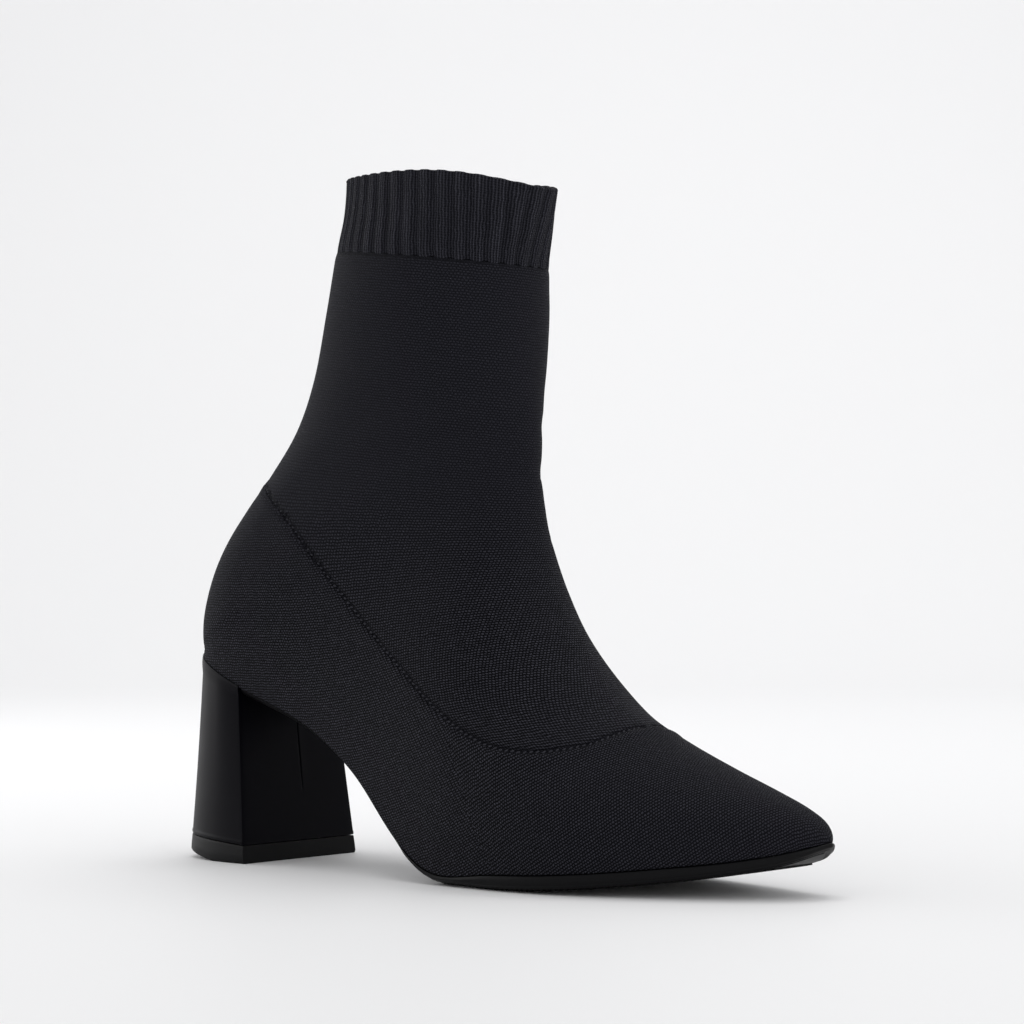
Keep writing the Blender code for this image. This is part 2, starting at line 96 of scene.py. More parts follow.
SHAFT = (
    ("heel", 2.6, 82.0, 57.4, 137.6, 2.6, 39.6, 0.24, 2.2, 2.0),
    ("heel", 4.4, 98.0, 57.3, 142.0, 3.0, 38.6, 0.27, 2.2, 2.0),
    ("tendon", 7.9, 114.0, 57.1, 147.0, 3.4, 36.6, 0.31, 2.1, 2.0),
    ("tendon", 12.8, 129.0, 56.8, 152.6, 4.2, 35.2, 0.37, 2.1, 2.1),
    ("ankle", 17.4, 145.0, 56.3, 159.6, 5.6, 35.2, 0.42, 2.1, 2.1),
    ("shaft", 20.6, 163.0, 55.8, 169.0, 6.8, 36.8, 0.46, 2.1, 2.1),
    ("shaft", 23.0, 185.0, 55.3, 182.6, 7.8, 38.8, 0.48, 2.1, 2.1),
    ("cuff line", 25.0, 206.6, 55.0, 197.8, 7.8, 38.8, 0.50, 2.1, 2.1),
    ("cuff", 25.7, 218.8, 56.6, 210.0, 7.0, 35.0, 0.50, 2.1, 2.1),
    ("collar", 25.6, COLLAR_BACK, 58.4, COLLAR_FRONT, 6.0, 31.0, 0.50, 2.1, 2.1),
)
NAMES = [row[0] for row in FOOT + SHAFT]
HEEL_BACK_ROW = NAMES.index("heel back")
HEEL_BACK_TOP = FOOT[-1][4]
CUFF_ROW = NAMES.index("cuff line")
COLLAR_ROW = len(NAMES) - 1

# The sole: station in percent of LENGTH, depth, and how far the foot of its band is drawn in on each side
SOLE_COLUMNS = ("station", "depth", "tuck_out", "tuck_in")
SOLE = (
    (100.0, 2.6, 0.6, 0.6),
    (98.4, 3.4, 0.6, 0.6),
    (91.3, 4.0, 0.5, 0.5),
    (78.0, 4.6, 0.5, 0.5),
    (63.0, 4.6, 0.8, 0.8),
    (54.0, 3.6, 3.0, 1.6),
    (46.5, 3.4, 6.0, 2.4),
    (37.0, 3.4, 6.6, 2.6),
    (27.5, 3.4, 5.6, 2.6),
    (14.0, 3.4, 4.0, 2.6),
    (2.0, 3.4, 4.0, 2.6),
)
# Edge of the sole: shares of margin, bulge and tuck that a point stands out, and of the band's height down to
# that point
EDGE = (
    ("top", 1, 0, 0.0, 0.0),
    ("shoulder", 1, 1, 0.15, 0.3),
    ("side", 1, 1, 0.4, 0.6),
    ("turn", 1, 0, 0.7, 0.85),
    ("foot", 0, 0, 1.0, 1.0),
)
TREAD_PLATE = 0.7
PLATE_INSET = 1.6
SOLE_MARGIN = 0.3
BAND_BULGE = 0.6

# Heel block and lift
BREAST_FOOT = 42.0
BREAST_TOP = 35.2
HEEL_BACK_FOOT = 1.2
HEEL_FOOT_MIDDLE = -0.8
HEEL_FOOT_HALF_WIDTH = 26.8
HEEL_ROUNDNESS = 2.9
COVER_LAP_BREAST = 0.8  # how far the cover laps up over the upper
COVER_LAP_BACK = 4.6
COVER_LAP_RUN = 28.0
LIFT = 6.0
LIFT_RISE = 2.6
LIFT_SPRING = 3.2
LIFT_FLAT_END = 25.0
INSOLE = 2.0
INSOLE_INSET = 3.2

# Where the foot panel is joined to the leg panel, seen from the side: station and height, mm
JOIN = (
    ("back seam", 30.0, 131.5),
    ("tendon", 42.0, 129.0),
    ("tendon", 51.0, 124.6),
    ("heel side", 60.0, 118.4),
    ("heel side", 70.0, 109.0),
    ("heel side", 81.0, 97.4),
    ("waist", 93.5, 86.0),
    ("waist", 105.0, 76.4),
    ("waist", 118.0, 66.6),
    ("ball", 133.0, 56.2),
    ("ball", 148.0, 47.8),
    ("vamp side", 159.0, 44.0),
    ("vamp side", 172.0, 42.8),
    ("vamp", 181.5, 44.0),
    ("vamp", 188.5, 46.6),
    ("over the vamp", 192.3, 50.6),
)
# Lie of the knitted courses on the leg panel: they fall to the front on the shaft, and rise over the vamp
COURSE_FALL = 0.115
COURSE_RISE = 0.30
COURSES_LEVEL = 150.0  # height above which they only fall
COURSES_STEEP = 55.0  # height where they rise most
COURSE_PIVOT = 115.0  # station where they stay at their height
# On the foot panel: they turn round the heel, then curve up to the toe, where they slant across the ridge
HEEL_TURN = 55.0  # station where the turn begins
HEEL_RADIUS = 40.0
HEEL_COURSE_START = 60.0  # station where the curve begins
HEEL_COURSE_BEND = 0.0024
HEEL_KNIT_END = 165.0  # station where the heel half meets the toe half, at the floor
HEEL_KNIT_LEAN = 0.5  # how far that line leans back, for its height
TOE_COURSE_RISE = math.radians(52)  # from the line of the ridge
TOE_COURSE_SKEW = 1.25  # how much closer the courses lie than if ridge and sections were square
KNIT_LOOSE = 75.0  # height below which the stitches stand out fully
KNIT_TIGHT = 128.0  # height above which the knit is drawn tight and smooth
TOE_LASTED = 165.0  # station from which the knit is drawn smooth over the toe
BACK_FURROW = 2.3  # from the back seam to the furrow on its outer side
# Soft creases of the knit: middle of each trough (row and share), reach, half width and depth, mm
CREASES = (
    ("front of the ankle", 14.5, 0.93, 14.0, 4.5, 0.20),
    ("above the ankle", 19.6, 0.90, 16.0, 6.5, 0.15),
    ("instep", 10.4, 0.96, 18.0, 5.0, 0.15),
    ("tendon", 18.2, 0.12, 12.0, 5.0, 0.25),
    ("ball", 7.4, 0.62, 9.0, 18.0, 0.20),
)
# Faint lines where the knit of the leg panel changes, seen from the side: station and height of both ends, mm
KNIT_CHANGES = (
    ("ankle", 62.0, 130.5, 150.0, 128.5),
    ("instep", 97.0, 96.0, 143.0, 108.5),
)


def smooth_curve(places, values, at):
    """Cubic through rows of values, with each row's slope taken from its two neighbours."""
    step = np.diff(places)[:, None]
    slope = np.diff(values, axis=0) / step
    tangent = np.empty_like(values)
    tangent[1:-1] = (slope[:-1] * step[1:] + slope[1:] * step[:-1]) / (step[1:] + step[:-1])
    tangent[0] = 2 * slope[0] - tangent[1]
    tangent[-1] = 2 * slope[-1] - tangent[-2]
    row = np.clip(np.searchsorted(places, at) - 1, 0, len(places) - 2)
    width = step[row]
    t = ((at - places[row]) / width[:, 0])[:, None]
    start = (2 * t**3 - 3 * t**2 + 1) * values[row] + (t**3 - 2 * t**2 + t) * width * tangent[row]
    end = (3 * t**2 - 2 * t**3) * values[row + 1] + (t**3 - t**2) * width * tangent[row + 1]
    return start + end


def section_table():
    """All rows in one array: a shaft row is a foot row with equal sides that meet at the back seam."""
    rows = [row[1:] for row in FOOT]
    for _, back_x, back_z, front_x, front_z, swing, half, level, low, high in SHAFT:
        sides = (swing, half, half, -swing, swing)
        rows.append((back_x, back_z, front_x, front_z, *sides, level, low, low, high))
    return np.array(rows)


def sections_at(rows):
    """The section sizes at these row numbers, whole or in between."""
    rows = np.asarray(rows, dtype=float)
    table = section_table()
    places = np.arange(len(table), dtype=float)
    found = smooth_curve(places, table, rows)
    on_foot = rows <= HEEL_BACK_ROW
    for name in ("bottom_x", "bottom_z", "feather_out", "feather_in"):
        column = COLUMNS.index(name)
        values = table[:, column : column + 1]
        foot, shaft = slice(0, HEEL_BACK_ROW + 1), slice(HEEL_BACK_ROW, None)
        found[on_foot, column] = smooth_curve(places[foot], values[foot], rows[on_foot])[:, 0]
        found[~on_foot, column] = smooth_curve(places[shaft], values[shaft], rows[~on_foot])[:, 0]
    sizes = {name: found[:, column] for column, name in enumerate(COLUMNS)}
    for name in ("bottom_x", "top_x"):
        sizes[name] = sizes[name] * LENGTH / 100
    for name in ("swing", "out", "in", "feather_out", "feather_in"):
        sizes[name] = sizes[name] * BALL_WIDTH / 100
    closed = rows >= HEEL_BACK_ROW
    sizes["feather_out"][closed] = -sizes["swing"][closed]
    sizes["feather_in"][closed] = sizes["swing"][closed]
    sizes["bow"] = COLLAR_BOW * np.clip((rows - CUFF_ROW) / (COLLAR_ROW - CUFF_ROW), 0, 1)
    return sizes


def run_along(points):
    """Distance of each point along a line of points."""
    steps = np.linalg.norm(np.diff(points, axis=0), axis=1)
    return np.concatenate([[0], np.cumsum(steps)])


def along(points, lengths):
    """Points at these distances along a line of points."""
    run = run_along(points)
    return np.stack([np.interp(lengths, run, points[:, axis]) for axis in range(points.shape[1])], axis=1)


def half_section(size, side, steps=60):
    """One side of a section as points from its bottom to its top; side is -1 outside and +1 inside."""
    turn = np.linspace(0, math.pi / 2, steps + 1)
    where = "out" if side < 0 else "in"
    level, low, high = size["level"], size["low_" + where], size["high"]
    half = max(size[where], 0.001)
    foot = np.clip(size["feather_" + where] - side * size["swing"], 0, half)
    below = level * (1 - np.cos(turn))
    above = level + (1 - level) * np.sin(turn[1:])
    flare = 1 - (foot / half) ** low
    wide_below = np.maximum(1 - flare * ((level - below) / level) ** low, 0) ** (1 / low)
    wide_above = np.maximum(1 - ((above - level) / (1 - level)) ** high, 0) ** (1 / high)
    share = np.concatenate([below, above])
    wide = np.concatenate([wide_below, wide_above])
    x = size["bottom_x"] + (size["top_x"] - size["bottom_x"]) * share
    y = size["swing"] + side * half * wide
    z = size["bottom_z"] + (size["top_z"] - size["bottom_z"]) * share
    z = z + size["bow"] * share**2 * (1 - share) / (BOW_PEAK**2 * (1 - BOW_PEAK))
    return np.stack([x, y, z], axis=1)


def each_section(rows):
    """The sizes of one section after another."""
    sizes = sections_at(rows)
    for number in range(len(rows)):
        yield {name: values[number] for name, values in sizes.items()}


def on_upper(row, share, side):
    """A point of the upper's outer face, this share of the way up its section."""
    line = half_section(next(each_section([row])), side)
    return along(line, [share * run_along(line)[-1]])[0]


def row_at_station(station):
    """Row number of the section that stands at this station of the feather line."""
    rows = np.linspace(HEEL_BACK_ROW, 0, 600)
    return float(np.interp(station, sections_at(rows)["bottom_x"], rows))


def feather_height(stations):
    """Height of the feather line, where upper and sole meet, at these stations."""
    sizes = sections_at(np.linspace(HEEL_BACK_ROW, 0, 600))
    return np.interp(stations, sizes["bottom_x"], sizes["bottom_z"])


def feather_outline(rows):
    """Plan of the feather line: its outer and inner points, and the outward directions there."""
    sizes = sections_at(rows)
    sides = []
    for side, reach in ((-1, sizes["feather_out"]), (1, sizes["feather_in"])):
        line = np.stack([sizes["bottom_x"], side * reach], axis=1)
        run = np.gradient(line, axis=0)
        out = np.stack([run[:, 1], -run[:, 0]], axis=1) * side
        if rows[0] == 0:
            out[0] = (1, 0)
        if rows[-1] == HEEL_BACK_ROW:
            out[-1] = (-1, 0)
        sides.append((line, out / np.linalg.norm(out, axis=1, keepdims=True)))
    return sides


def foot_side(stations, heights):
    """Height of the join above these points: above 0 on the foot panel and below 0 on the leg panel."""
    table = np.array([row[1:] for row in JOIN])
    stations = np.asarray(stations)
    inside = np.clip(stations, table[0, 0], table[-1, 0]).ravel()
    join = smooth_curve(table[:, 0], table[:, 1:], inside)[:, 0].reshape(stations.shape)
    return np.where(stations > table[-1, 0], 50.0, join - heights)


def in_frame(points):
    """Points of the last's frame in mm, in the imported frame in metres: both have the lift in common."""
    low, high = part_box("heel_lift")
    shift = (high[0] - BREAST_FOOT * MM, (low[1] + high[1]) / 2 - HEEL_FOOT_MIDDLE * MM, 0.0)
    return np.asarray(points) * MM + np.array(shift)


def bell(distance, width):
    """1 in the middle of a ridge or trough, falling softly to 0 on both sides."""
    return np.exp(-((distance / width) ** 2))


def linear(colour):
    """Linear RGB of an sRGB hex colour."""
    parts = [int(colour[place : place + 2], 16) / 255 for place in (1, 3, 5)]
    return tuple(part / 12.92 if part <= 0.04045 else ((part + 0.055) / 1.055) ** 2.4 for part in parts)


def give(made, inputs):
    """Sets a node's inputs, or links those given as a socket or a node, which stands for its first output."""
    for name, value in inputs.items():
        if isinstance(value, bpy.types.Node):
            value = next(socket for socket in value.outputs if socket.enabled)
        if isinstance(value, bpy.types.NodeSocket):
            made.id_data.links.new(value, made.inputs[name])
        else:
            made.inputs[name].default_value = value


def node(tree, kind, inputs=None, **settings):
    """Adds a node with its settings and its inputs."""
    made = tree.nodes.new(kind)
    for name, value in settings.items():
        setattr(made, name, value)
    give(made, inputs or {})
    return made


def new_material(name):
    """A material to be given its looks: itself, its tree, its shader and the place on the piece."""
    made = bpy.data.materials.new(name)
    made.use_nodes = True
    place = node(made.node_tree, "ShaderNodeTexCoord").outputs["Object"]
    return made, made.node_tree, made.node_tree.nodes["Principled BSDF"], place


def set_inputs(shader, **inputs):
    """Sets or links inputs of a shader by their names, written as words of Python."""
    give(shader, {name.replace("_", " ").title().replace("Ior", "IOR"): inputs[name] for name in inputs})


def strip_faces(rows, columns, closed_across=False, closed_along=False):
    """Quads of a grid of points numbered row by row."""
    numbers = np.arange(rows * columns).reshape(rows, columns)
    if closed_across:
        numbers = np.concatenate([numbers, numbers[:, :1]], axis=1)
    if closed_along:
        numbers = np.concatenate([numbers, numbers[:1]], axis=0)
    corners = (numbers[:-1, :-1], numbers[:-1, 1:], numbers[1:, 1:], numbers[1:, :-1])
    return np.stack([corner.ravel() for corner in corners], axis=1)


def new_piece(name, points, faces, materials, uv=None, floats=None, smooth_angle=40):
    """An object of these points in mm of the last's frame. uv holds a pair for each corner of each face, and
    floats holds named values for the points."""
    mesh = bpy.data.meshes.new(name)
    mesh.from_pydata(in_frame(points).tolist(), [], [tuple(int(c) for c in face) for face in faces])
    if uv is not None:
        layer = mesh.uv_layers.new(name="knit")
        layer.data.foreach_set("uv", np.asarray(uv, dtype=np.float32).ravel())
    for title, values in (floats or {}).items():
        attribute = mesh.attributes.new(title, "FLOAT", "POINT")
        attribute.data.foreach_set("value", np.asarray(values, dtype=np.float32).ravel())
    shape = bmesh.new()
    shape.from_mesh(mesh)
    bmesh.ops.remove_doubles(shape, verts=shape.verts, dist=0.002 * MM)
    bmesh.ops.dissolve_degenerate(shape, edges=shape.edges, dist=0.001 * MM)
    bmesh.ops.recalc_face_normals(shape, faces=shape.faces)
    shape.to_mesh(mesh)
    shape.free()
    for material in materials:
        mesh.materials.append(material)
    mesh.shade_smooth()
    mesh.set_sharp_from_angle(angle=math.radians(smooth_angle))
    return add_object(name, mesh)


def new_points(name, points, kind, field, **values):
    """An object of loose points in mm of the last's frame, with named values for a geometry tree."""
    mesh = bpy.data.meshes.new(name)
    mesh.from_pydata(in_frame(points).tolist(), [], [])
    for title, numbers in values.items():
        attribute = mesh.attributes.new(title, kind, "POINT")
        attribute.data.foreach_set(field, np.asarray(numbers, dtype=np.float32).ravel())
    return add_object(name, mesh)


def add_object(name, data):
    """A new object in the scene."""
    made = bpy.data.objects.new(name, data)
    bpy.context.scene.collection.objects.link(made)
    return made


def tube_faces(rings):
    """Faces of a tube of closed rings, with both ends filled."""
    count, size = rings.shape[:2]
    faces = [tuple(face) for face in strip_faces(count, size, closed_across=True)]
    return faces + [tuple(range(size - 1, -1, -1)), tuple(range((count - 1) * size, count * size))]


def plain_mesh(made):
    """Turns an object's modifiers into its own mesh."""
    graph = bpy.context.evaluated_depsgraph_get()
    mesh = bpy.data.meshes.new_from_object(
        made.evaluated_get(graph), preserve_all_data_layers=True, depsgraph=graph
    )
    made.modifiers.clear()
    made.data = mesh
    return made


def node_group(name, **inputs):
    """A geometry tree with a geometry input and these named inputs, each with its socket type."""
    tree = bpy.data.node_groups.new(name, "GeometryNodeTree")
    tree.interface.new_socket("Geometry", in_out="INPUT", socket_type="NodeSocketGeometry")
    for title, kind in inputs.items():
        tree.interface.new_socket(title.replace("_", " "), in_out="INPUT", socket_type=kind)
    tree.interface.new_socket("Geometry", in_out="OUTPUT", socket_type="NodeSocketGeometry")
    return tree, node(tree, "NodeGroupInput").outputs


def end_group(tree, geometry, material):
    """Ends a geometry tree in plain geometry with its material."""
    real = node(tree, "GeometryNodeRealizeInstances", {"Geometry": geometry})
    painted = node(tree, "GeometryNodeSetMaterial", {"Geometry": real, "Material": material})
    node(tree, "NodeGroupOutput", {"Geometry": painted})


def grow(made, tree, **values):
    """Runs a geometry tree on an object, with these inputs, and keeps the result as a plain mesh."""
    modifier = made.modifiers.new(tree.name, "NODES")
    modifier.node_group = tree
    sockets = {item.name: item.identifier for item in tree.interface.items_tree if item.in_out == "INPUT"}
    for title, value in values.items():
        modifier[sockets[title.replace("_", " ")]] = value
    plain_mesh(made)
    made.data.shade_smooth()
    return made


def settle(made, node_name):
    """Puts a finished piece in the frame in place of its solid."""
    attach(made, "root")
    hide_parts(node_name)


class BootFinish(bpy.types.PropertyGroup):
    """Colours and fine sizes of the boot's surfaces."""

    yarn: FloatVectorProperty(
        name="Yarn", description="Colour of the knitted yarn", subtype="COLOR", default=linear("#3a3a41")
    )
    # Painted shade: this dark colour fills the gaps between the stitches, the low parts of the lining's nap
    # and the linking yarn's fibres, and the knit's join groove and furrows
    gap_shade: FloatVectorProperty(
        name="Gaps", description="Colour between the stitches", subtype="COLOR", default=linear("#0c0c11")
    )
    lining: FloatVectorProperty(
        name="Lining", description="Colour of the lining", subtype="COLOR", default=linear("#161619")
    )
    rubber: FloatVectorProperty(
        name="Rubber", description="Colour of the sole and lift", subtype="COLOR", default=linear("#0c0c0e")
    )
    cover: FloatVectorProperty(
        name="Heel cover", description="Colour of the covered heel", subtype="COLOR",
        default=linear("#020206"),
    )
    sock: FloatVectorProperty(
        name="Insole sock", description="Colour of the insole sock", subtype="COLOR",
        default=linear("#1a1a1c"),
    )
    wale: FloatProperty(
        name="Wale", description="Width of one column of stitches", unit="LENGTH", default=1.2 * MM
    )
    course: FloatProperty(
        name="Course", description="Height of one stitch", unit="LENGTH", default=0.88 * MM
    )
    rib_wale: FloatProperty(
        name="Rib wale", description="Width of one column of stitches in the cuff", unit="LENGTH",
        default=0.98 * MM,
    )
    rib_course: FloatProperty(
        name="Rib course", description="Height of one stitch in the cuff", unit="LENGTH", default=0.8 * MM
    )
    rib_pitch: FloatProperty(
        name="Rib pitch", description="From one rib of the cuff to the next", unit="LENGTH",
        default=5.9 * MM,
    )
    rib_height: FloatProperty(
        name="Rib height", description="From rib to furrow of the cuff", unit="LENGTH", default=0.6 * MM
    )
    stitch: FloatProperty(
        name="Seam stitch", description="From one stitch of the back seam to the next", unit="LENGTH",
        default=1.6 * MM,
    )
    tread_pitch: FloatProperty(
        name="Tread pitch", description="From one bar of the tread to the next", unit="LENGTH",
        default=2.0 * MM,
    )


class BootStage(bpy.types.PropertyGroup):
    """Camera and studio."""

    camera_place: FloatVectorProperty(
        name="Camera place", description="Where the camera stands", subtype="XYZ", unit="LENGTH",
        default=(0.6097, -0.6784, 0.0956),
    )
    camera_turn: FloatProperty(
        name="Camera turn", description="Heading of the view, from +Y towards -X", subtype="ANGLE",
        default=math.radians(39.28),
    )
    camera_pitch: FloatProperty(
        name="Camera pitch", description="How far the view looks up", subtype="ANGLE",
        default=math.radians(1.40),
    )
    lens: FloatProperty(name="Lens", description="Focal length", unit="CAMERA", default=98.1)
    shift: FloatProperty(
        name="Shift", description="Sideways shift that brings the boot to the middle", default=-0.11
    )
    paper: FloatVectorProperty(
        name="Paper", description="Colour of the studio paper", subtype="COLOR", default=linear("#ececed")
    )
    key: FloatProperty(name="Top light", description="Power of the light above", unit="POWER", default=2.7)
    side: FloatProperty(
        name="Side light", description="Power of the light at the heel", unit="POWER", default=4.1
    )
    front: FloatProperty(
        name="Front light", description="Power of the light at the toe", unit="POWER", default=3.2
    )
    backdrop: FloatProperty(
        name="Backdrop light", description="Power of the light on the paper behind", unit="POWER",
        default=20.0,
    )
    fill: FloatProperty(name="Surround", description="Strength of the light all round", default=0.72)
    bend_steps: IntProperty(name="Bend steps", description="Steps of the paper's bend", default=24)


def plain_loops(tree, uv, finish):
    """Staggered loops of the plain knit, drawn a little bolder than the real ones to show: how high each
    point stands, and how light each loop is, with painted shade in the dark mortar between the loops."""
    loops = node(
        tree, "ShaderNodeTexBrick",
        {
            "Vector": uv, "Color1": (0.6, 0.6, 0.6, 1), "Color2": (1, 1, 1, 1),
            # The mortar is painted shade between the loops; the bricks' two colours are tone that differs at
            # random
            "Mortar": (0.25, 0.25, 0.25, 1), "Mortar Smooth": 1.0,
            "Mortar Size": 0.34 * min(finish.wale, finish.course) / MM,
            "Scale": 1.0, "Brick Width": finish.wale / MM, "Row Height": finish.course / MM,
        },
        offset=0.5,
    )
    height = node(
        tree, "ShaderNodeMapRange",
        {"Value": loops.outputs["Fac"], "From Min": 0.0, "From Max": 0.9, "To Min": 1.0, "To Max": 0.0},
        interpolation_type="SMOOTHSTEP",
    )
    return height, loops


def rib_loops(tree, uv, finish):
    """Upright wales of the ribbed cuff with close ticks across them, both drawn a little coarser than the
    real ones to show: how high each point stands, and how light each wale is."""
    period = 0.1 * math.pi * MM  # size of a wave at scale 1, in mm of the UV map
    wales = node(
        tree, "ShaderNodeTexWave",
        {"Vector": uv, "Scale": period / finish.rib_wale, "Distortion": 0.8, "Detail Scale": 0.6},
        bands_direction="Y",
    )
    ticks = node(
        tree, "ShaderNodeTexWave",
        {"Vector": uv, "Scale": period / finish.rib_course, "Distortion": 1.2, "Detail Scale": 1.0},
        bands_direction="X",
    )
    height = node(tree, "ShaderNodeMix", {0: 0.25, 2: wales.outputs["Fac"], 3: ticks.outputs["Fac"]})
    drawn_out = node(tree, "ShaderNodeVectorMath", {0: uv, 1: (0.05, 0.7, 1.0)}, operation="MULTIPLY")
    streaks = node(tree, "ShaderNodeTexNoise", {"Vector": drawn_out, "Scale": 1.0, "Detail": 1.0})
    tone = node(
        tree, "ShaderNodeMapRange",
        {"Value": streaks, "From Min": 0.3, "From Max": 0.7, "To Min": 0.75, "To Max": 1.15},
    )
    return height, tone


def knit_material(finish, name, pattern):
    """Black polyester yarn, knitted fine: close loops that read as a matt grain, fainter where the knit is
    drawn tight. Painted shade darkens the gaps between the loops, the furrows and the join, and the light
    loop tops stand partly for painted highlight on the yarn."""
    made, tree, shader, place = new_material(name)
    # furrow holds painted shade: for the furrow beside the back seam on the upper, and for the rib furrows on
    # the cuff
    seam, furrow, tight = (
        node(tree, "ShaderNodeAttribute", attribute_name=title).outputs["Fac"]
        for title in ("seam", "furrow", "tight")
    )
    uv = node(tree, "ShaderNodeUVMap", uv_map="knit")
    wobble = node(tree, "ShaderNodeTexNoise", {"Vector": uv, "Scale": 0.4, "Detail": 2.0}).outputs["Color"]
    offset = node(tree, "ShaderNodeVectorMath", {0: wobble, 1: (0.5, 0.5, 0.5)}, operation="SUBTRACT")
    wander = (0.9, 0.9, 0.0)  # mm by which the loops leave their rows
    bent = node(tree, "ShaderNodeVectorMath", {0: offset, 1: wander, 2: uv}, operation="MULTIPLY_ADD")
    loops, lightness = pattern(tree, bent, finish)
    shown = node(tree, "ShaderNodeMapRange", {"Value": tight, "To Min": 1.0, "To Max": 0.3})
    height = node(tree, "ShaderNodeMix", {0: shown, 2: 0.2, 3: loops})
    lumps = node(tree, "ShaderNodeTexNoise", {"Vector": place, "Scale": 1 / (1.6 * MM), "Detail": 1.0})
    strayed = node(
        tree, "ShaderNodeMapRange",
        {"Value": lumps, "From Min": 0.25, "From Max": 0.75, "To Min": -0.35, "To Max": 0.35},
    )
    # The join's groove gives both the bump and painted shade along the join; on the leg panel's side it
    # reaches twice as far, as painted shade spreading above the join
    bent_seam = node(tree, "ShaderNodeMath", {0: seam, 1: strayed}, operation="ADD")
    leg_side = node(tree, "ShaderNodeMath", {0: bent_seam, 1: -0.5}, operation="MULTIPLY")
    near_seam = node(tree, "ShaderNodeMath", {0: bent_seam, 1: leg_side}, operation="MAXIMUM")
    groove = node(
        tree, "ShaderNodeMapRange",
        {"Value": near_seam, "From Min": 0.05, "From Max": 0.85, "To Min": 0.85, "To Max": 0.0},
        interpolation_type="SMOOTHSTEP",
    )
    depth = node(tree, "ShaderNodeMath", {0: groove, 1: -2.0, 2: height}, operation="MULTIPLY_ADD")
    bump = node(tree, "ShaderNodeBump", {"Height": depth, "Strength": 1.0, "Distance": 0.7 * MM})
    # Painted shade: the gaps between the loops take the gap_shade colour; the lighter loop tops take the
    # yarn's colour and stand partly for painted highlight
    gap_shade, yarn = (*finish.gap_shade, 1), (*finish.yarn, 1)
    tint = node(tree, "ShaderNodeMix", {0: height, 6: gap_shade, 7: yarn}, data_type="RGBA")
    toned = node(
        tree, "ShaderNodeMix", {0: shown, 6: tint, 7: lightness}, data_type="RGBA", blend_type="MULTIPLY"
    )
    # Painted shade: the join's groove and the furrows are darkened towards the gap_shade colour
    shade = node(tree, "ShaderNodeMath", {0: groove, 1: furrow}, operation="MAXIMUM")
    shaded = node(tree, "ShaderNodeMix", {0: shade, 6: toned, 7: gap_shade}, data_type="RGBA")
    set_inputs(shader, base_color=shaded, normal=bump, roughness=0.8)
    set_inputs(shader, specular_ior_level=0.1, specular_tint=(0.4, 0.4, 0.46, 1))
    return made


def yarn_material(finish):
    """Linking yarn, black polyester, twisted and pulled tight: short plump stitches a shade lighter than the
    knit."""
    made, tree, shader, place = new_material("polyester_yarn_linked")
    fibres = node(tree, "ShaderNodeTexNoise", {"Vector": place, "Scale": 1 / (0.3 * MM), "Detail": 2.0})
    # Painted shade: the low parts of the fibres take the gap_shade colour
    ends = {6: (*finish.gap_shade, 1), 7: (*finish.yarn, 1)}
    tint = node(tree, "ShaderNodeMix", {0: fibres, **ends}, data_type="RGBA")
    bump = node(tree, "ShaderNodeBump", {"Height": fibres, "Strength": 0.6, "Distance": 0.15 * MM})
    set_inputs(shader, base_color=tint, normal=bump, roughness=0.8, specular_ior_level=0.15)
    return made


def lining_material(finish):
    """Polyester tricot lining, warp-knitted and brushed: a flat, slightly furry black. Its nap is drawn
    coarser than the real one to show."""
    made, tree, shader, place = new_material("polyester_tricot_brushed")
    nap = node(tree, "ShaderNodeTexNoise", {"Vector": place, "Scale": 0.9 / MM, "Detail": 3.0})
    bump = node(tree, "ShaderNodeBump", {"Height": nap, "Strength": 0.5, "Distance": 0.2 * MM})
    # Painted shade: the low parts of the nap take the gap_shade colour
    ends = {6: (*finish.gap_shade, 1), 7: (*finish.lining, 1)}
    tint = node(tree, "ShaderNodeMix", {0: nap, **ends}, data_type="RGBA")
    set_inputs(shader, base_color=tint, normal=bump, roughness=0.9, specular_ior_level=0.2, sheen_weight=0.2)
    return made


def rubber_material(finish, name, roughness, grain_mm, grain_depth_mm):
    """Moulded rubber: an even satin black with the fine spark-eroded grain of its mould."""
    made, tree, shader, place = new_material(name)
    grain = node(tree, "ShaderNodeTexNoise", {"Vector": place, "Scale": 1 / (grain_mm * MM), "Detail": 2.0})
    cloud = node(tree, "ShaderNodeTexNoise", {"Vector": place, "Scale": 0.06 / MM, "Detail": 2.0})
    bump = node(tree, "ShaderNodeBump", {"Height": grain, "Strength": 0.5, "Distance": grain_depth_mm * MM})
    rough = node(
        tree, "ShaderNodeMapRange", {"Value": cloud, "To Min": roughness - 0.06, "To Max": roughness + 0.08}
    )
    ends = {6: (*(0.75 * part for part in finish.rubber), 1), 7: (*finish.rubber, 1)}
    tint = node(tree, "ShaderNodeMix", {0: cloud, **ends}, data_type="RGBA")
    set_inputs(shader, base_color=tint, roughness=rough, normal=bump, ior=1.52, specular_ior_level=0.095)
    return made


def cover_material(finish):
    """Polyurethane-coated heel cover, calendered smooth: satin black that reflects softly. Its very fine
    pores are drawn coarser than the real ones to show."""
    made, tree, shader, place = new_material("polyurethane_cover_calendered")
    pores = node(tree, "ShaderNodeTexVoronoi", {"Vector": place, "Scale": 1 / (0.7 * MM)})
    cloud = node(tree, "ShaderNodeTexNoise", {"Vector": place, "Scale": 0.045 / MM, "Detail": 3.0})
    bump = node(tree, "ShaderNodeBump", {"Height": pores, "Strength": 0.12, "Distance": 0.05 * MM})
    rough = node(tree, "ShaderNodeMapRange", {"Value": cloud, "To Min": 0.36, "To Max": 0.46})
    ends = {6: (*(0.8 * part for part in finish.cover), 1), 7: (*finish.cover, 1)}
    tint = node(tree, "ShaderNodeMix", {0: cloud, **ends}, data_type="RGBA")
    set_inputs(shader, base_color=tint, roughness=rough, normal=bump, ior=1.5)
    set_inputs(shader, specular_ior_level=0.055, specular_tint=(0.92, 0.9, 1, 1))
    return made


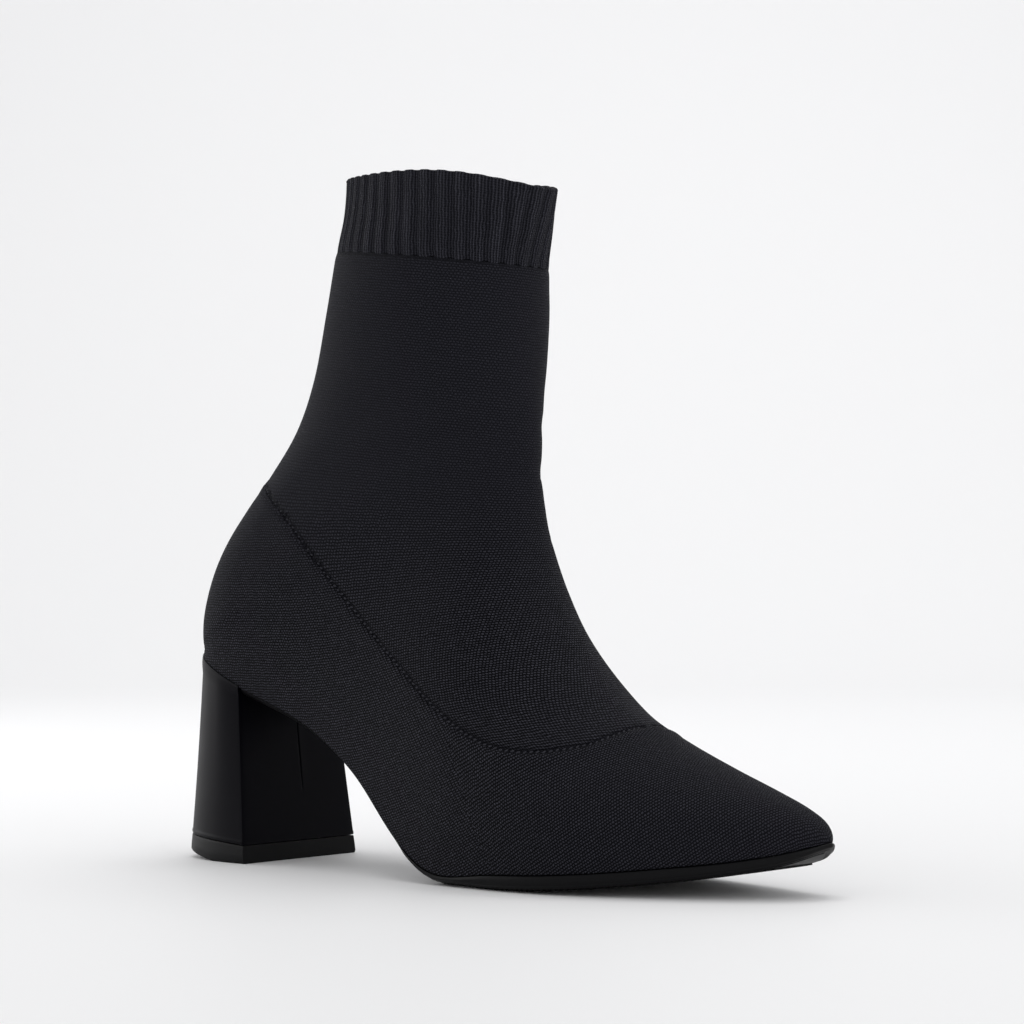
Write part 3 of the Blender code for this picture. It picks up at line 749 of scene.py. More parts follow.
def sock_material(finish):
    """Woven polyester insole sock on foam: a close plain weave, matt dark grey."""
    made, tree, shader, place = new_material("polyester_sock_woven")
    weave = node(
        tree, "ShaderNodeTexBrick",
        {
            "Vector": place, "Color1": (0.75, 0.75, 0.75, 1), "Color2": (1, 1, 1, 1),
            "Mortar": (0.4, 0.4, 0.4, 1), "Scale": 1.0, "Mortar Size": 0.12 * MM, "Mortar Smooth": 1.0,
            "Brick Width": 0.9 * MM, "Row Height": 0.6 * MM,
        },
        offset=0.5,
    )
    bump = node(tree, "ShaderNodeBump", {"Height": weave, "Strength": 0.6, "Distance": 0.15 * MM})
    tint = node(
        tree, "ShaderNodeMix", {0: 1.0, 6: (*finish.sock, 1), 7: weave},
        data_type="RGBA", blend_type="MULTIPLY",
    )
    set_inputs(shader, base_color=tint, normal=bump, roughness=0.85, specular_ior_level=0.25)
    return made


def paper_material(stage):
    """Matt studio paper, coated: an even pale grey with no gloss."""
    made, tree, shader, place = new_material("studio_paper_matt")
    fibre = node(tree, "ShaderNodeTexNoise", {"Vector": place, "Scale": 0.3 / MM, "Detail": 2.0})
    bump = node(tree, "ShaderNodeBump", {"Height": fibre, "Strength": 0.05, "Distance": 0.1 * MM})
    colour = (*stage.paper, 1)
    set_inputs(shader, base_color=colour, normal=bump, roughness=0.6, specular_ior_level=0.3)
    return made


def material(name, maker, *values):
    """A material by its name, made the first time it is asked for."""
    return bpy.data.materials.get(name) or maker(*values)


class KnitGrid:
    """Outer face of the knitted upper below the cuff, as a grid of points over rows and columns."""

    ROW_STEPS = 250
    SIDE_STEPS = 74
    SEAM_PLACES = (0.0, 0.5, 1.1, 1.7, 2.3, 2.9, 3.5, 4.2)  # mm from the back seam
    FULL_LENGTH = 40.0  # of half a section: shorter ones have these places closer
    JOIN_ROWS = np.concatenate([np.linspace(5.2, 6.2, 160), np.linspace(6.2, 19.5, 300)])  # close at the vamp

    def __init__(self):
        self.rows = self.even_rows()
        sections = list(each_section(self.rows))
        halves = {side: self.half(sections, side) for side in (-1, 1)}
        self.points = np.concatenate([halves[-1][0], halves[1][0][:, -2::-1]], axis=1)
        self.from_edge = np.concatenate([halves[-1][1], halves[1][1][:, -2::-1]], axis=1)
        lengths = [halves[side][1][:, -1:] for side in (-1, 1)]
        outer, inner = halves[-1][1] - lengths[0], (lengths[1] - halves[1][1])[:, -2::-1]
        self.across = np.concatenate([outer, inner], axis=1)  # from the ridge, below 0 on the outer side
        self.middle = halves[-1][0].shape[1] - 1
        self.outer_side = np.arange(self.points.shape[1]) < self.middle

    def even_rows(self):
        """Row numbers that lie evenly along the upper."""
        fine = np.linspace(0, CUFF_ROW, 500)
        sizes = sections_at(fine)
        bottom = np.stack([sizes["bottom_x"], sizes["bottom_z"]], axis=1)
        top = np.stack([sizes["top_x"], sizes["top_z"]], axis=1)
        run = (run_along(bottom) + run_along(top)) / 2
        return np.interp(np.linspace(0, run[-1], self.ROW_STEPS), run, fine)

    def half(self, sections, side):
        """Points of one side, and their distances from the bottom of their section."""
        points, lengths = [], []
        for size in sections:
            line = half_section(size, side)
            length = run_along(line)[-1]
            near = np.array(self.SEAM_PLACES) * min(1.0, length / self.FULL_LENGTH)
            places = np.concatenate([near[:-1], np.linspace(near[-1], length, self.SIDE_STEPS)])
            points.append(along(line, places))
            lengths.append(places)
        return np.array(points), np.array(lengths)

    def normals(self):
        """Outward directions, shared by the two edges that meet in the back seam."""
        normal = np.cross(np.gradient(self.points, axis=0), np.gradient(self.points, axis=1))
        normal /= np.maximum(np.linalg.norm(normal, axis=2, keepdims=True), 1e-9)
        outward = self.points - self.points.mean(axis=1, keepdims=True)
        normal *= np.sign((normal * outward).sum())
        seam = self.rows >= HEEL_BACK_ROW
        normal[seam, 0] = (-1, 0, 0)
        normal[seam, -1] = (-1, 0, 0)
        return normal

    def join_line(self, side):
        """The join of the two panels on one side of the upper, from the vamp to the back seam."""
        line = []
        for size in each_section(self.JOIN_ROWS):
            section = half_section(size, side)
            below = foot_side(section[:, 0], section[:, 2])
            turns = np.flatnonzero((below[:-1] > 0) & (below[1:] <= 0))
            if len(turns):
                start = turns[-1]
                share = below[start] / (below[start] - below[start + 1])
                line.append(section[start] + share * (section[start + 1] - section[start]))
        return np.array(line)

    def seam_distance(self):
        """Distance from the join of the panels: above 0 on the foot panel and below 0 on the leg panel."""
        far = 1e3
        distance = np.full(self.across.shape, far)
        for side, columns in ((-1, slice(0, self.middle + 1)), (1, slice(self.middle, None))):
            line = self.join_line(side)
            flat = self.points[:, columns].reshape(-1, 3)
            near = np.full(len(flat), far)
            for start, end in zip(line[:-1], line[1:]):
                run = end - start
                t = np.clip((flat - start) @ run / max(run @ run, 1e-9), 0, 1)
                near = np.minimum(near, np.linalg.norm(flat - start - t[:, None] * run, axis=1))
            found = distance[:, columns]
            distance[:, columns] = np.minimum(found, near.reshape(found.shape))
        return distance * np.sign(foot_side(self.points[:, :, 0], self.points[:, :, 2]) + 1e-9)


class BOOT_OT_knit_upper(bpy.types.Operator):
    """Knits the upper: foot panel and leg panel with their join, the back seam and the soft creases"""

    bl_idname = "boot.knit_upper"
    bl_label = "Knitted upper"

    # What stands out from the last or lies below it, mm
    JOIN_GROOVE = 0.45
    JOIN_GROOVE_WIDTH = 0.8
    LIP = 0.35  # of the foot panel, beside the join
    LIP_PLACE = 2.0
    LIP_WIDTH = 1.7
    SEAM_RIDGE = 0.5
    SEAM_RIDGE_WIDTH = 2.3
    FURROW = 0.45
    FURROW_WIDTH = 0.7
    FURROW_INNER = 0.3  # share of it on the inner side
    CHANGE = 0.1
    CHANGE_WIDTH = 0.8
    CUFF_TUCK = {-1: 0.7, -2: 0.25}  # shares of the cuff's step by which the last rows are drawn in under it
    TOE_TIGHT = 0.7  # how tight the knit is drawn at the toe tip, for 1 on the shaft
    RIDGE_NEAR = 7.0  # up to here from the front line, the girth is measured along the section
    RIDGE_FAR = 15.0  # from here on, it is measured level
    LOWEST_LEVEL = 30.0
    LEVEL_STEP = 0.5

    def execute(self, context):
        finish = context.scene.boot_finish
        grid = KnitGrid()
        seam = grid.seam_distance()
        points = grid.points + grid.normals() * self.relief(grid, seam)[:, :, None]
        faces = strip_faces(*seam.shape)
        uv = self.stitch_places(grid, seam, faces)
        name = "polyester_yarn_weft_knitted"
        knit = material(name, knit_material, finish, name, plain_loops)
        lining = material("polyester_tricot_brushed", lining_material, finish)
        shades = {"seam": seam, "furrow": self.back_furrow_shade(grid), "tight": self.tightness(grid)}
        upper = new_piece(
            "knit_upper", points.reshape(-1, 3), faces, [knit, lining], uv, shades, smooth_angle=70
        )
        wall = upper.modifiers.new("wall", "SOLIDIFY")
        wall.thickness = WALL * MM
        wall.offset = -1
        wall.use_even_offset = True
        wall.use_quality_normals = True
        wall.material_offset = 1
        plain_mesh(upper)
        settle(upper, "upper")
        return {"FINISHED"}

    def back_furrow_shade(self, grid):
        """Painted shade of the furrow on the outer side of the back seam: 1 in the furrow, 0 away from it."""
        furrow = (grid.rows >= HEEL_BACK_ROW)[:, None] * bell(grid.from_edge - BACK_FURROW, self.FURROW_WIDTH)
        return furrow * grid.outer_side

    def tightness(self, grid):
        """How tight the knit is drawn: loose at 0 and smooth at 1."""
        station, height = grid.points[:, :, 0], grid.points[:, :, 2]
        shaft = np.clip((height - KNIT_LOOSE) / (KNIT_TIGHT - KNIT_LOOSE), 0, 1)
        toe = np.clip((station - TOE_LASTED) / (LENGTH - TOE_LASTED), 0, 1)
        return np.maximum(shaft, self.TOE_TIGHT * np.sqrt(toe))

    def relief(self, grid, seam):
        """How far each point stands out from the last, in mm."""
        relief = -self.JOIN_GROOVE * bell(seam, self.JOIN_GROOVE_WIDTH)
        relief += self.LIP * bell(np.maximum(seam, 0) - self.LIP_PLACE, self.LIP_WIDTH) * (seam > 0)
        back = np.clip(grid.rows - HEEL_BACK_ROW, 0, 1)[:, None]
        furrow = self.FURROW * np.where(grid.outer_side, 1.0, self.FURROW_INNER)
        relief += back * self.SEAM_RIDGE * np.exp(-((grid.from_edge / self.SEAM_RIDGE_WIDTH) ** 4))
        relief -= back * furrow * bell(grid.from_edge - BACK_FURROW, self.FURROW_WIDTH)
        for _, row, share, reach, half_width, depth in CREASES:
            for side in (-1, 1):
                away = grid.points - on_upper(row, share, side)
                relief -= depth * bell(np.linalg.norm(away, axis=2), reach) * bell(away[:, :, 2], half_width)
        for _, *ends in KNIT_CHANGES:
            away = self.from_line(grid.points[:, :, [0, 2]], *np.reshape(ends, (2, 2)))
            relief -= self.CHANGE * bell(away, self.CHANGE_WIDTH)
        for row, share in self.CUFF_TUCK.items():
            relief[row] -= CUFF_STEP * share
        relief[0] = 0
        return relief

    def from_line(self, places, start, end):
        """Distance of these places, seen from the side, from a straight line."""
        run = end - start
        share = np.clip((places - start) @ run / (run @ run), 0, 1)
        return np.linalg.norm(places - start - share[:, :, None] * run, axis=2)

    def stitch_places(self, grid, seam, faces):
        """For each corner of each face, its place in mm along and across the courses of stitches."""
        station, height = grid.points[:, :, 0], grid.points[:, :, 2]
        at_heel = station + HEEL_KNIT_LEAN * height < HEEL_KNIT_END
        on_leg = seam.ravel()[faces].mean(axis=1) <= 0
        on_heel = (at_heel.ravel()[faces].mean(axis=1) > 0.5) & ~on_leg
        uv = self.toe_places(grid).reshape(-1, 2)[faces]
        uv[on_heel] = self.heel_places(grid, station, height).reshape(-1, 2)[faces[on_heel]]
        uv[on_leg] = self.leg_places(grid, station, height).reshape(-1, 2)[faces[on_leg]]
        return uv

    def toe_places(self, grid):
        """Places on the toe half of the foot panel, where the courses slant across the ridge."""
        steps = np.linalg.norm(np.diff(grid.points, axis=0, prepend=grid.points[:1]), axis=2)
        down, back = np.abs(grid.across), np.cumsum(steps, axis=0)
        rise, run = math.sin(TOE_COURSE_RISE), math.cos(TOE_COURSE_RISE)
        return np.stack([-rise * down - run * back, TOE_COURSE_SKEW * (rise * back - run * down)], axis=2)

    def heel_places(self, grid, station, height):
        """Places on the heel half of the foot panel, where the courses turn round the heel and curve up."""
        ahead = station - HEEL_TURN
        aside = np.abs(grid.points[:, :, 1] - grid.points[:, grid.middle, 1][:, None])
        round_heel = -HEEL_RADIUS * np.arctan2(np.maximum(-ahead, 0), np.maximum(aside, 0.001))
        level = np.where(ahead > 0, ahead, round_heel) * np.where(grid.outer_side, -1, 1)
        bend = HEEL_COURSE_BEND * np.maximum(station - HEEL_COURSE_START, 0) ** 2
        return np.stack([level, height - bend], axis=2)

    def leg_places(self, grid, station, height):
        """Places on the leg panel, where the courses run round the leg."""
        down = np.clip((COURSES_LEVEL - height) / (COURSES_LEVEL - COURSES_STEEP), 0, 1)
        rise = COURSE_RISE * down * down * (3 - 2 * down) - COURSE_FALL
        return np.stack([self.girth(grid), height - rise * (station - COURSE_PIVOT)], axis=2)

    def girth(self, grid):
        """Level distance of each point from the front line: worked out from section to section on the foot,
        and from column to column above the heel, where each column rises steadily. Near the foot's ridge it
        is the distance along the section."""
        front = grid.points[:, grid.middle]
        found = np.zeros(grid.across.shape)
        for side, columns in ((-1, slice(grid.middle, None, -1)), (1, slice(grid.middle, None))):
            points, across = grid.points[:, columns], np.abs(grid.across[:, columns])
            by_section = np.array(list(self.level_runs(points[:, ::-1], front)))[:, ::-1]
            levelled = np.clip((across - self.RIDGE_NEAR) / (self.RIDGE_FAR - self.RIDGE_NEAR), 0, 1)
            by_section = across + levelled * (by_section - across)
            by_column = np.array(list(self.level_runs(points.transpose(1, 0, 2), front))).T
            found[:, columns] = side * np.where(points[:, :, 2] < HEEL_BACK_TOP, by_section, by_column)
        return found

    def level_runs(self, lines, front):
        """For the points of each line in turn, how far their level has run from the front line."""
        levels = np.arange(self.LOWEST_LEVEL, COLLAR_BACK, self.LEVEL_STEP)
        before = np.stack([np.interp(levels, front[:, 2], front[:, axis]) for axis in (0, 1)], axis=1)
        run = np.zeros(len(levels))
        for line in lines:
            height = np.maximum.accumulate(line[:, 2])
            place = np.stack([np.interp(levels, height, line[:, axis]) for axis in (0, 1)], axis=1)
            inside = (levels >= height[0]) & (levels <= height[-1])
            run = run + np.where(inside, np.linalg.norm(place - before, axis=1), 0)
            before = np.where(inside[:, None], place, before)
            yield np.interp(line[:, 2], levels, run)


class BOOT_OT_rib_cuff(bpy.types.Operator):
    """Knits the ribbed cuff, turned over at the collar, with ribs that run up and over its edge"""

    bl_idname = "boot.rib_cuff"
    bl_label = "Ribbed cuff"

    ROUND_STEPS = 560
    OUTER_ROWS = 22
    RIM_ROWS = 7
    INNER_ROWS = 12
    INNER_RIB = -0.6  # share of the ribs' height inside the cuff, where they stand inwards
    NO_SEAM = 9.0  # mm from the join of the panels, so that none shows
    LEAN = 0.04  # share of the girth by which the side ribs lean back to stay upright

    def execute(self, context):
        finish = context.scene.boot_finish
        loops, outward, upward = self.loops()
        grid = loops.shape[:2]
        faces = strip_faces(*grid, closed_across=True, closed_along=True)
        share = np.arange(self.ROUND_STEPS) / self.ROUND_STEPS
        round_mm = run_along(np.concatenate([loops[0], loops[0][:1]]))[-1]
        steps = np.linalg.norm(np.diff(loops, axis=0), axis=2).mean(axis=1)
        run = np.concatenate([[0], np.cumsum(steps)])
        places = np.stack(np.broadcast_arrays(run[:, None], share[None, :] * round_mm), axis=2)
        uv = places.reshape(-1, 2)[faces]
        wrapped = np.ptp(uv[:, :, 1], axis=1) > round_mm / 2
        uv[wrapped, :, 1] += np.where(uv[wrapped, :, 1] < round_mm / 2, round_mm, 0)
        floats = {
            "girth": np.broadcast_to(share, grid),
            "rib_out": np.broadcast_to(outward[:, None], grid),
            "rib_up": np.broadcast_to(upward[:, None], grid),
            "seam": np.full(grid, self.NO_SEAM),
        }
        name = "polyester_yarn_rib_knitted"
        knit = material(name, knit_material, finish, name, rib_loops)
        cuff = new_piece("rib_cuff", loops.reshape(-1, 3), faces, [knit], uv, floats, smooth_angle=80)
        ribs = round(round_mm * MM / finish.rib_pitch)
        grow(cuff, self.rib_tree(knit), Ribs=ribs, Height=finish.rib_height)
        settle(cuff, "upper")
        return {"FINISHED"}

    def loops(self):
        """Levels of the cuff from its foot over the rim and down inside, and how far the ribs push each one
        outwards and upwards."""
        thick = WALL - CUFF_STEP
        loops, pushes = [], []
        for row in np.linspace(CUFF_ROW, COLLAR_ROW, self.OUTER_ROWS):
            top, out, up = self.ring(row)
            loops.append(top - CUFF_STEP * out)
            pushes.append((1.0, 0.0))
        for turn in np.linspace(0, math.pi, self.RIM_ROWS + 2)[1:-1]:
            inwards = thick / 2 * (math.cos(turn) - 1) - CUFF_STEP
            loops.append(top + inwards * out + (thick / 2 * math.sin(turn) - thick / 2) * up)
            pushes.append((math.cos(turn), math.sin(turn)))
        for row in np.linspace(COLLAR_ROW, CUFF_ROW, self.INNER_ROWS):
            ring, out, up = self.ring(row)
            loops.append(ring - WALL * out)
            pushes.append((self.INNER_RIB, 0.0))
        loops = np.array(loops)
        for beside_rim in (self.OUTER_ROWS - 1, self.OUTER_ROWS + self.RIM_ROWS):
            loops[beside_rim] -= thick / 2 * up
        return loops, *np.array(pushes).T

    def ring(self, row):
        """One level of the cuff: its points round the leg, with their outward and upward directions."""
        lines = []
        for near in (row, row + 0.01 if row < COLLAR_ROW else row - 0.01):
            size = next(each_section([near]))
            line = np.concatenate([half_section(size, -1), half_section(size, 1)[-2::-1]])
            length = run_along(line)[-1]
            share = np.arange(self.ROUND_STEPS) / self.ROUND_STEPS
            lean = self.LEAN * (near - CUFF_ROW) / (COLLAR_ROW - CUFF_ROW)
            lines.append(along(line, (share - lean * np.sin(2 * math.pi * share)) * length))
        ring, above = lines
        up = (above - ring) * (1 if row < COLLAR_ROW else -1)
        up /= np.linalg.norm(up, axis=1, keepdims=True)
        run = np.roll(ring, -1, axis=0) - np.roll(ring, 1, axis=0)
        out = np.cross(run, up)
        out /= np.linalg.norm(out, axis=1, keepdims=True)
        out *= np.sign((out * (ring - ring.mean(axis=0))).sum())
        return ring, out, up

    def rib_tree(self, knit):
        """Geometry tree that pushes the ribs out and the furrows in, scallops the edge, and stores painted
        shade for the furrows.
        """
        tree, inputs = node_group("cuff_ribs", Ribs="NodeSocketInt", Height="NodeSocketFloat")
        girth, weight, top = (
            node(tree, "GeometryNodeInputNamedAttribute", {"Name": title}, data_type="FLOAT")
            for title in ("girth", "rib_out", "rib_up")
        )
        turns = node(tree, "ShaderNodeMath", {0: girth, 1: inputs["Ribs"]}, operation="MULTIPLY")
        turn = node(tree, "ShaderNodeMath", {0: turns, 1: 2 * math.pi}, operation="MULTIPLY")
        wave = node(tree, "ShaderNodeMath", {0: turn}, operation="SINE")
        steep = node(tree, "ShaderNodeMath", {0: wave, 1: 2.2, 2: 0.7}, operation="MULTIPLY_ADD")
        rib = node(tree, "ShaderNodeMath", {0: steep}, operation="TANH")
        amount = node(tree, "ShaderNodeMath", {0: rib, 1: inputs["Height"]}, operation="MULTIPLY")
        half = node(tree, "ShaderNodeMath", {0: amount, 1: 0.5}, operation="MULTIPLY")
        strength = node(tree, "ShaderNodeMath", {0: weight}, operation="ABSOLUTE")
        outwards = node(tree, "ShaderNodeMath", {0: half, 1: strength}, operation="MULTIPLY")
        normal = node(tree, "GeometryNodeInputNormal")
        push = node(tree, "ShaderNodeVectorMath", {0: normal, "Scale": outwards}, operation="SCALE")
        rise = node(tree, "ShaderNodeMath", {0: half, 1: top}, operation="MULTIPLY")
        low_rise = node(tree, "ShaderNodeMath", {0: rise, 1: 0.2}, operation="MULTIPLY")
        lift = node(tree, "ShaderNodeCombineXYZ", {"Z": low_rise})
        move = node(tree, "ShaderNodeVectorMath", {0: push, 1: lift}, operation="ADD")
        moved = node(tree, "GeometryNodeSetPosition", {"Geometry": inputs["Geometry"], "Offset": move})
        # Painted shade: darker towards the bottom of each furrow, stored as furrow for the knit's colour
        rib_furrow_shade = node(
            tree, "ShaderNodeMapRange",
            {"Value": rib, "From Min": -1.0, "From Max": 0.7, "To Min": 0.3, "To Max": 0.0},
        )
        shaded = node(
            tree, "GeometryNodeStoreNamedAttribute", {"Geometry": moved, "Name": "furrow", "Value": rib_furrow_shade},
            data_type="FLOAT",
        )
        end_group(tree, shaded, knit)
        return tree


class BOOT_OT_seam_stitches(bpy.types.Operator):
    """Works the linking stitches: slanted pairs up the back seam and small ones along the panels' join"""

    bl_idname = "boot.seam_stitches"
    bl_label = "Seam stitches"

    BRAID_SIZE = (3.0, 1.25)  # length and width of a stitch of the back seam, mm
    BRAID_ROWS = np.linspace(HEEL_BACK_ROW + 0.25, CUFF_ROW - 0.02, 300)
    FROM_SEAM = 1.0  # mm from the back seam to the middle of a stitch
    STAND_OUT = 0.38  # mm that it stands out there
    SLANT = math.radians(48)
    JOIN_SIZE = (1.5, 0.75)  # length and width of a stitch along the join, mm
    JOIN_PITCH = 1.3  # of its stitches, for 1 in the back seam
    JOIN_SUNK = 0.2  # mm that they lie below the knit
    JOIN_SLANT = 0.5  # radians
    JOIN_SLANT_CHANGE = 0.25
    JOIN_STRAY = 0.12  # mm that they stray to the sides

    def execute(self, context):
        finish = context.scene.boot_finish
        yarn = material("polyester_yarn_linked", yarn_material, finish)
        pitch = finish.stitch / MM
        pieces = (
            ("back_braid", self.back_seam(pitch), self.BRAID_SIZE),
            ("join_stitches", self.panel_join(self.JOIN_PITCH * pitch), self.JOIN_SIZE),
        )
        for name, stitch_lines, (length, width) in pieces:
            points, directions, outs = (np.array(values) for values in zip(*stitch_lines))
            stitches = new_points(name, points, "FLOAT_VECTOR", "vector", along=directions, out=outs)
            grow(stitches, self.stitch_tree(yarn), Length=length * MM, Width=width * MM)
            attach(stitches, "root")
        return {"FINISHED"}

    def back_seam(self, pitch):
        """For each stitch of the slanted pairs, its place, its direction and which way is out."""
        line = np.array([half_section(size, -1)[0] for size in each_section(self.BRAID_ROWS)])
        run = run_along(line)
        rows = np.interp(np.linspace(0, run[-1], int(run[-1] / pitch)), run, self.BRAID_ROWS)
        for size, above in zip(each_section(rows), each_section(rows + 0.02)):
            for side in (-1, 1):
                section = half_section(size, side)
                up = half_section(above, side)[0] - section[0]
                up /= np.linalg.norm(up)
                place = along(section, [self.FROM_SEAM])[0]
                sideways = (place - section[0]) / np.linalg.norm(place - section[0])
                out = np.cross(up, sideways)
                out *= -np.sign(out[0])
                direction = math.cos(self.SLANT) * up + math.sin(self.SLANT) * sideways
                yield place + self.STAND_OUT * out, direction, out

    def panel_join(self, pitch):
        """For each stitch along the join of the panels, its place, its direction and which way is out."""
        grid = KnitGrid()
        normals, flat = grid.normals().reshape(-1, 3), grid.points.reshape(-1, 3)
        for side in (-1, 1):
            line = grid.join_line(side)
            places = np.arange(pitch, run_along(line)[-1] - pitch, pitch)
            ends = zip(along(line, places), along(line, places + 0.5))
            for number, (middle, towards) in enumerate(ends):
                ahead = (towards - middle) / np.linalg.norm(towards - middle)
                out = normals[np.argmin(((flat - middle) ** 2).sum(axis=1))]
                sideways = np.cross(out, ahead)
                turn = self.JOIN_SLANT + self.JOIN_SLANT_CHANGE * math.sin(2.4 * number)
                stray = self.JOIN_STRAY * math.sin(1.7 * number)
                direction = math.cos(turn) * ahead + math.sin(turn) * sideways
                yield middle + stray * sideways - self.JOIN_SUNK * out, direction, out

    def stitch_tree(self, yarn):
        """Geometry tree that lays one plump stitch at each point, along its direction."""
        tree, inputs = node_group("seam_stitches", Length="NodeSocketFloat", Width="NodeSocketFloat")
        ball = node(tree, "GeometryNodeMeshUVSphere", {"Segments": 8, "Rings": 5, "Radius": 0.5})
        thin = node(tree, "ShaderNodeMath", {0: inputs["Width"], 1: 0.6}, operation="MULTIPLY")
        size = node(tree, "ShaderNodeCombineXYZ", {"X": inputs["Length"], "Y": inputs["Width"], "Z": thin})
        stitch = node(tree, "GeometryNodeTransform", {"Geometry": ball, "Scale": size})
        run, out = (
            node(tree, "GeometryNodeInputNamedAttribute", {"Name": title}, data_type="FLOAT_VECTOR")
            for title in ("along", "out")
        )
        turned = node(tree, "FunctionNodeAlignRotationToVector", {"Vector": run}, axis="X")
        laid = node(
            tree, "FunctionNodeAlignRotationToVector", {"Rotation": turned, "Vector": out},
            axis="Z", pivot_axis="X",
        )
        points = node(tree, "GeometryNodeMeshToPoints", {"Mesh": inputs["Geometry"]})
        many = node(
            tree, "GeometryNodeInstanceOnPoints", {"Points": points, "Instance": stitch, "Rotation": laid}
        )
        end_group(tree, many, yarn)
        return tree


def breast_station(height):
    """Station of the heel breast at this height."""
    return BREAST_FOOT + (BREAST_TOP - BREAST_FOOT) * height / HEEL_SEAT


def sole_sizes(stations):
    """Depth and tucks of the sole at these stations."""
    table = np.array(SOLE)[::-1]
    found = smooth_curve(table[:, 0] * LENGTH / 100, table[:, 1:], np.asarray(stations))
    return {name: found[:, column] for column, name in enumerate(SOLE_COLUMNS[1:])}


class BOOT_OT_moulded_sole(bpy.types.Operator):
    """Moulds the sole: rounded edge band, channel and tread plate, with fine bars across the forefoot"""

    bl_idname = "boot.moulded_sole"
    bl_label = "Moulded sole"

    BAND_STEPS = 12
    ACROSS_STEPS = 10
    ROWS_PER_SECTION = 12
    WAIST_TUCK = 1.1  # mm that the edge is drawn in under the waist
    # From the band over the channel to the plate: mm in from the band's foot, and shares of both heights
    PLATE_EDGE = (
        (0.5, 1.0, 0.0),
        (0.7 * PLATE_INSET, 0.85, 0.0),
        (0.9 * PLATE_INSET, 0.85, 0.0),
        (PLATE_INSET, 1.0, 0.2),
        (PLATE_INSET + 0.1, 1.0, 0.85),
        (PLATE_INSET + 0.3, 1.0, 1.0),
    )
    TREAD_DEPTH = 0.45
    TREAD_START = 116.0  # station where the plate begins to thin for the bars, in front of the waist
    TREAD_RUN = 6.0
    TREAD_END = 243.0
    BAR_INSET = 0.5  # mm from the plate's edge to the bars
    BAR_THICK = 0.55  # share of the pitch
    NARROWEST_BAR = 3.0

    def execute(self, context):
        finish = context.scene.boot_finish
        name = "thermoplastic_rubber_moulded"
        rubber = material(name, rubber_material, finish, name, 0.42, 0.35, 0.03)
        end = row_at_station(breast_station(HEEL_SEAT) + GAP)
        rows = np.append(np.arange(0, end, 1 / self.ROWS_PER_SECTION), end)
        sides = feather_outline(rows)
        sizes = sole_sizes(sides[0][0][:, 0])
        rings = np.array([self.ring(number, rows, sides, sizes) for number in range(len(rows))])
        sole = new_piece("moulded_sole", rings.reshape(-1, 3), tube_faces(rings), [rubber], smooth_angle=38)
        settle(sole, "outsole")
        self.tread(finish, rubber, sides, sizes)
        return {"FINISHED"}

    def ring(self, number, rows, sides, sizes):
        """One section of the sole, from the top of the outer edge round under the foot to the inner one."""
        ring = []
        last = number == len(rows) - 1
        for (line, out), tuck, order in zip(sides, ("tuck_out", "tuck_in"), (1, -1)):
            waist = self.WAIST_TUCK * (1 - self.tread_share(line[number, 0]))
            profile = []
            for _, margin, bulge, tucked, down in EDGE:
                reach = margin * SOLE_MARGIN + bulge * BAND_BULGE - tucked * sizes[tuck][number]
                profile.append((reach - waist * margin * (0.5 + 0.5 * bulge), down, 0.0))
            profile = np.array(profile)
            run = run_along(profile[:, :2])
            band = smooth_curve(run, profile, np.linspace(0, run[-1], self.BAND_STEPS))
            foot = profile[-1, 0]
            plate = [(foot - inset, down, plate_share) for inset, down, plate_share in self.PLATE_EDGE]
            for reach, down, plate_share in np.concatenate([band, plate])[::order]:
                x, y = line[number] + reach * out[number]
                if last:
                    x = breast_station(feather_height(x)) + GAP
                top = feather_height(x) - GAP
                plate_foot = max(top - sizes["depth"][number], 0)
                band_height = top - plate_foot - TREAD_PLATE
                tread = self.tread_share(x) * self.TREAD_DEPTH
                ring.append((x, y, top - down * band_height - plate_share * (TREAD_PLATE - tread)))
            if order == 1:
                joint = len(ring)
        outer, inner = np.array(ring[joint - 1]), np.array(ring[joint])
        across = [outer + (inner - outer) * share for share in np.linspace(0, 1, self.ACROSS_STEPS)[1:-1]]
        return ring[:joint] + [tuple(point) for point in across] + ring[joint:]

    def tread_share(self, station):
        """1 where the bars of the tread are, 0 at the waist."""
        return float(np.clip((station - self.TREAD_START) / self.TREAD_RUN, 0, 1))

    def tread(self, finish, rubber, sides, sizes):
        """Bars across the forefoot, as deep as the plate."""
        stations = np.arange(self.TREAD_START + self.TREAD_RUN, self.TREAD_END, finish.tread_pitch / MM)
        edges = []
        for (line, out), tuck in zip(sides, ("tuck_out", "tuck_in")):
            plan = line - (sizes[tuck] + PLATE_INSET + self.BAR_INSET)[:, None] * out
            order = np.argsort(plan[:, 0])
            edges.append(np.interp(stations, plan[order, 0], plan[order, 1]))
        depth = sole_sizes(stations)["depth"]
        low, ahead = (np.maximum(feather_height(stations + step) - GAP - depth, 0) for step in (0, 1))
        middle = np.stack([stations, (edges[0] + edges[1]) / 2, low + self.TREAD_DEPTH / 2], axis=1)
        width = edges[1] - edges[0]
        keep = width > self.NARROWEST_BAR
        pitch = np.arctan(ahead - low)[keep]
        bars = new_points("tread_bars", middle[keep], "FLOAT", "value", width=width[keep] * MM, pitch=pitch)
        thick = self.BAR_THICK * finish.tread_pitch
        grow(bars, self.bar_tree(rubber), Thick=thick, Depth=self.TREAD_DEPTH * MM)
        bars.data.set_sharp_from_angle(angle=math.radians(30))
        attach(bars, "root")

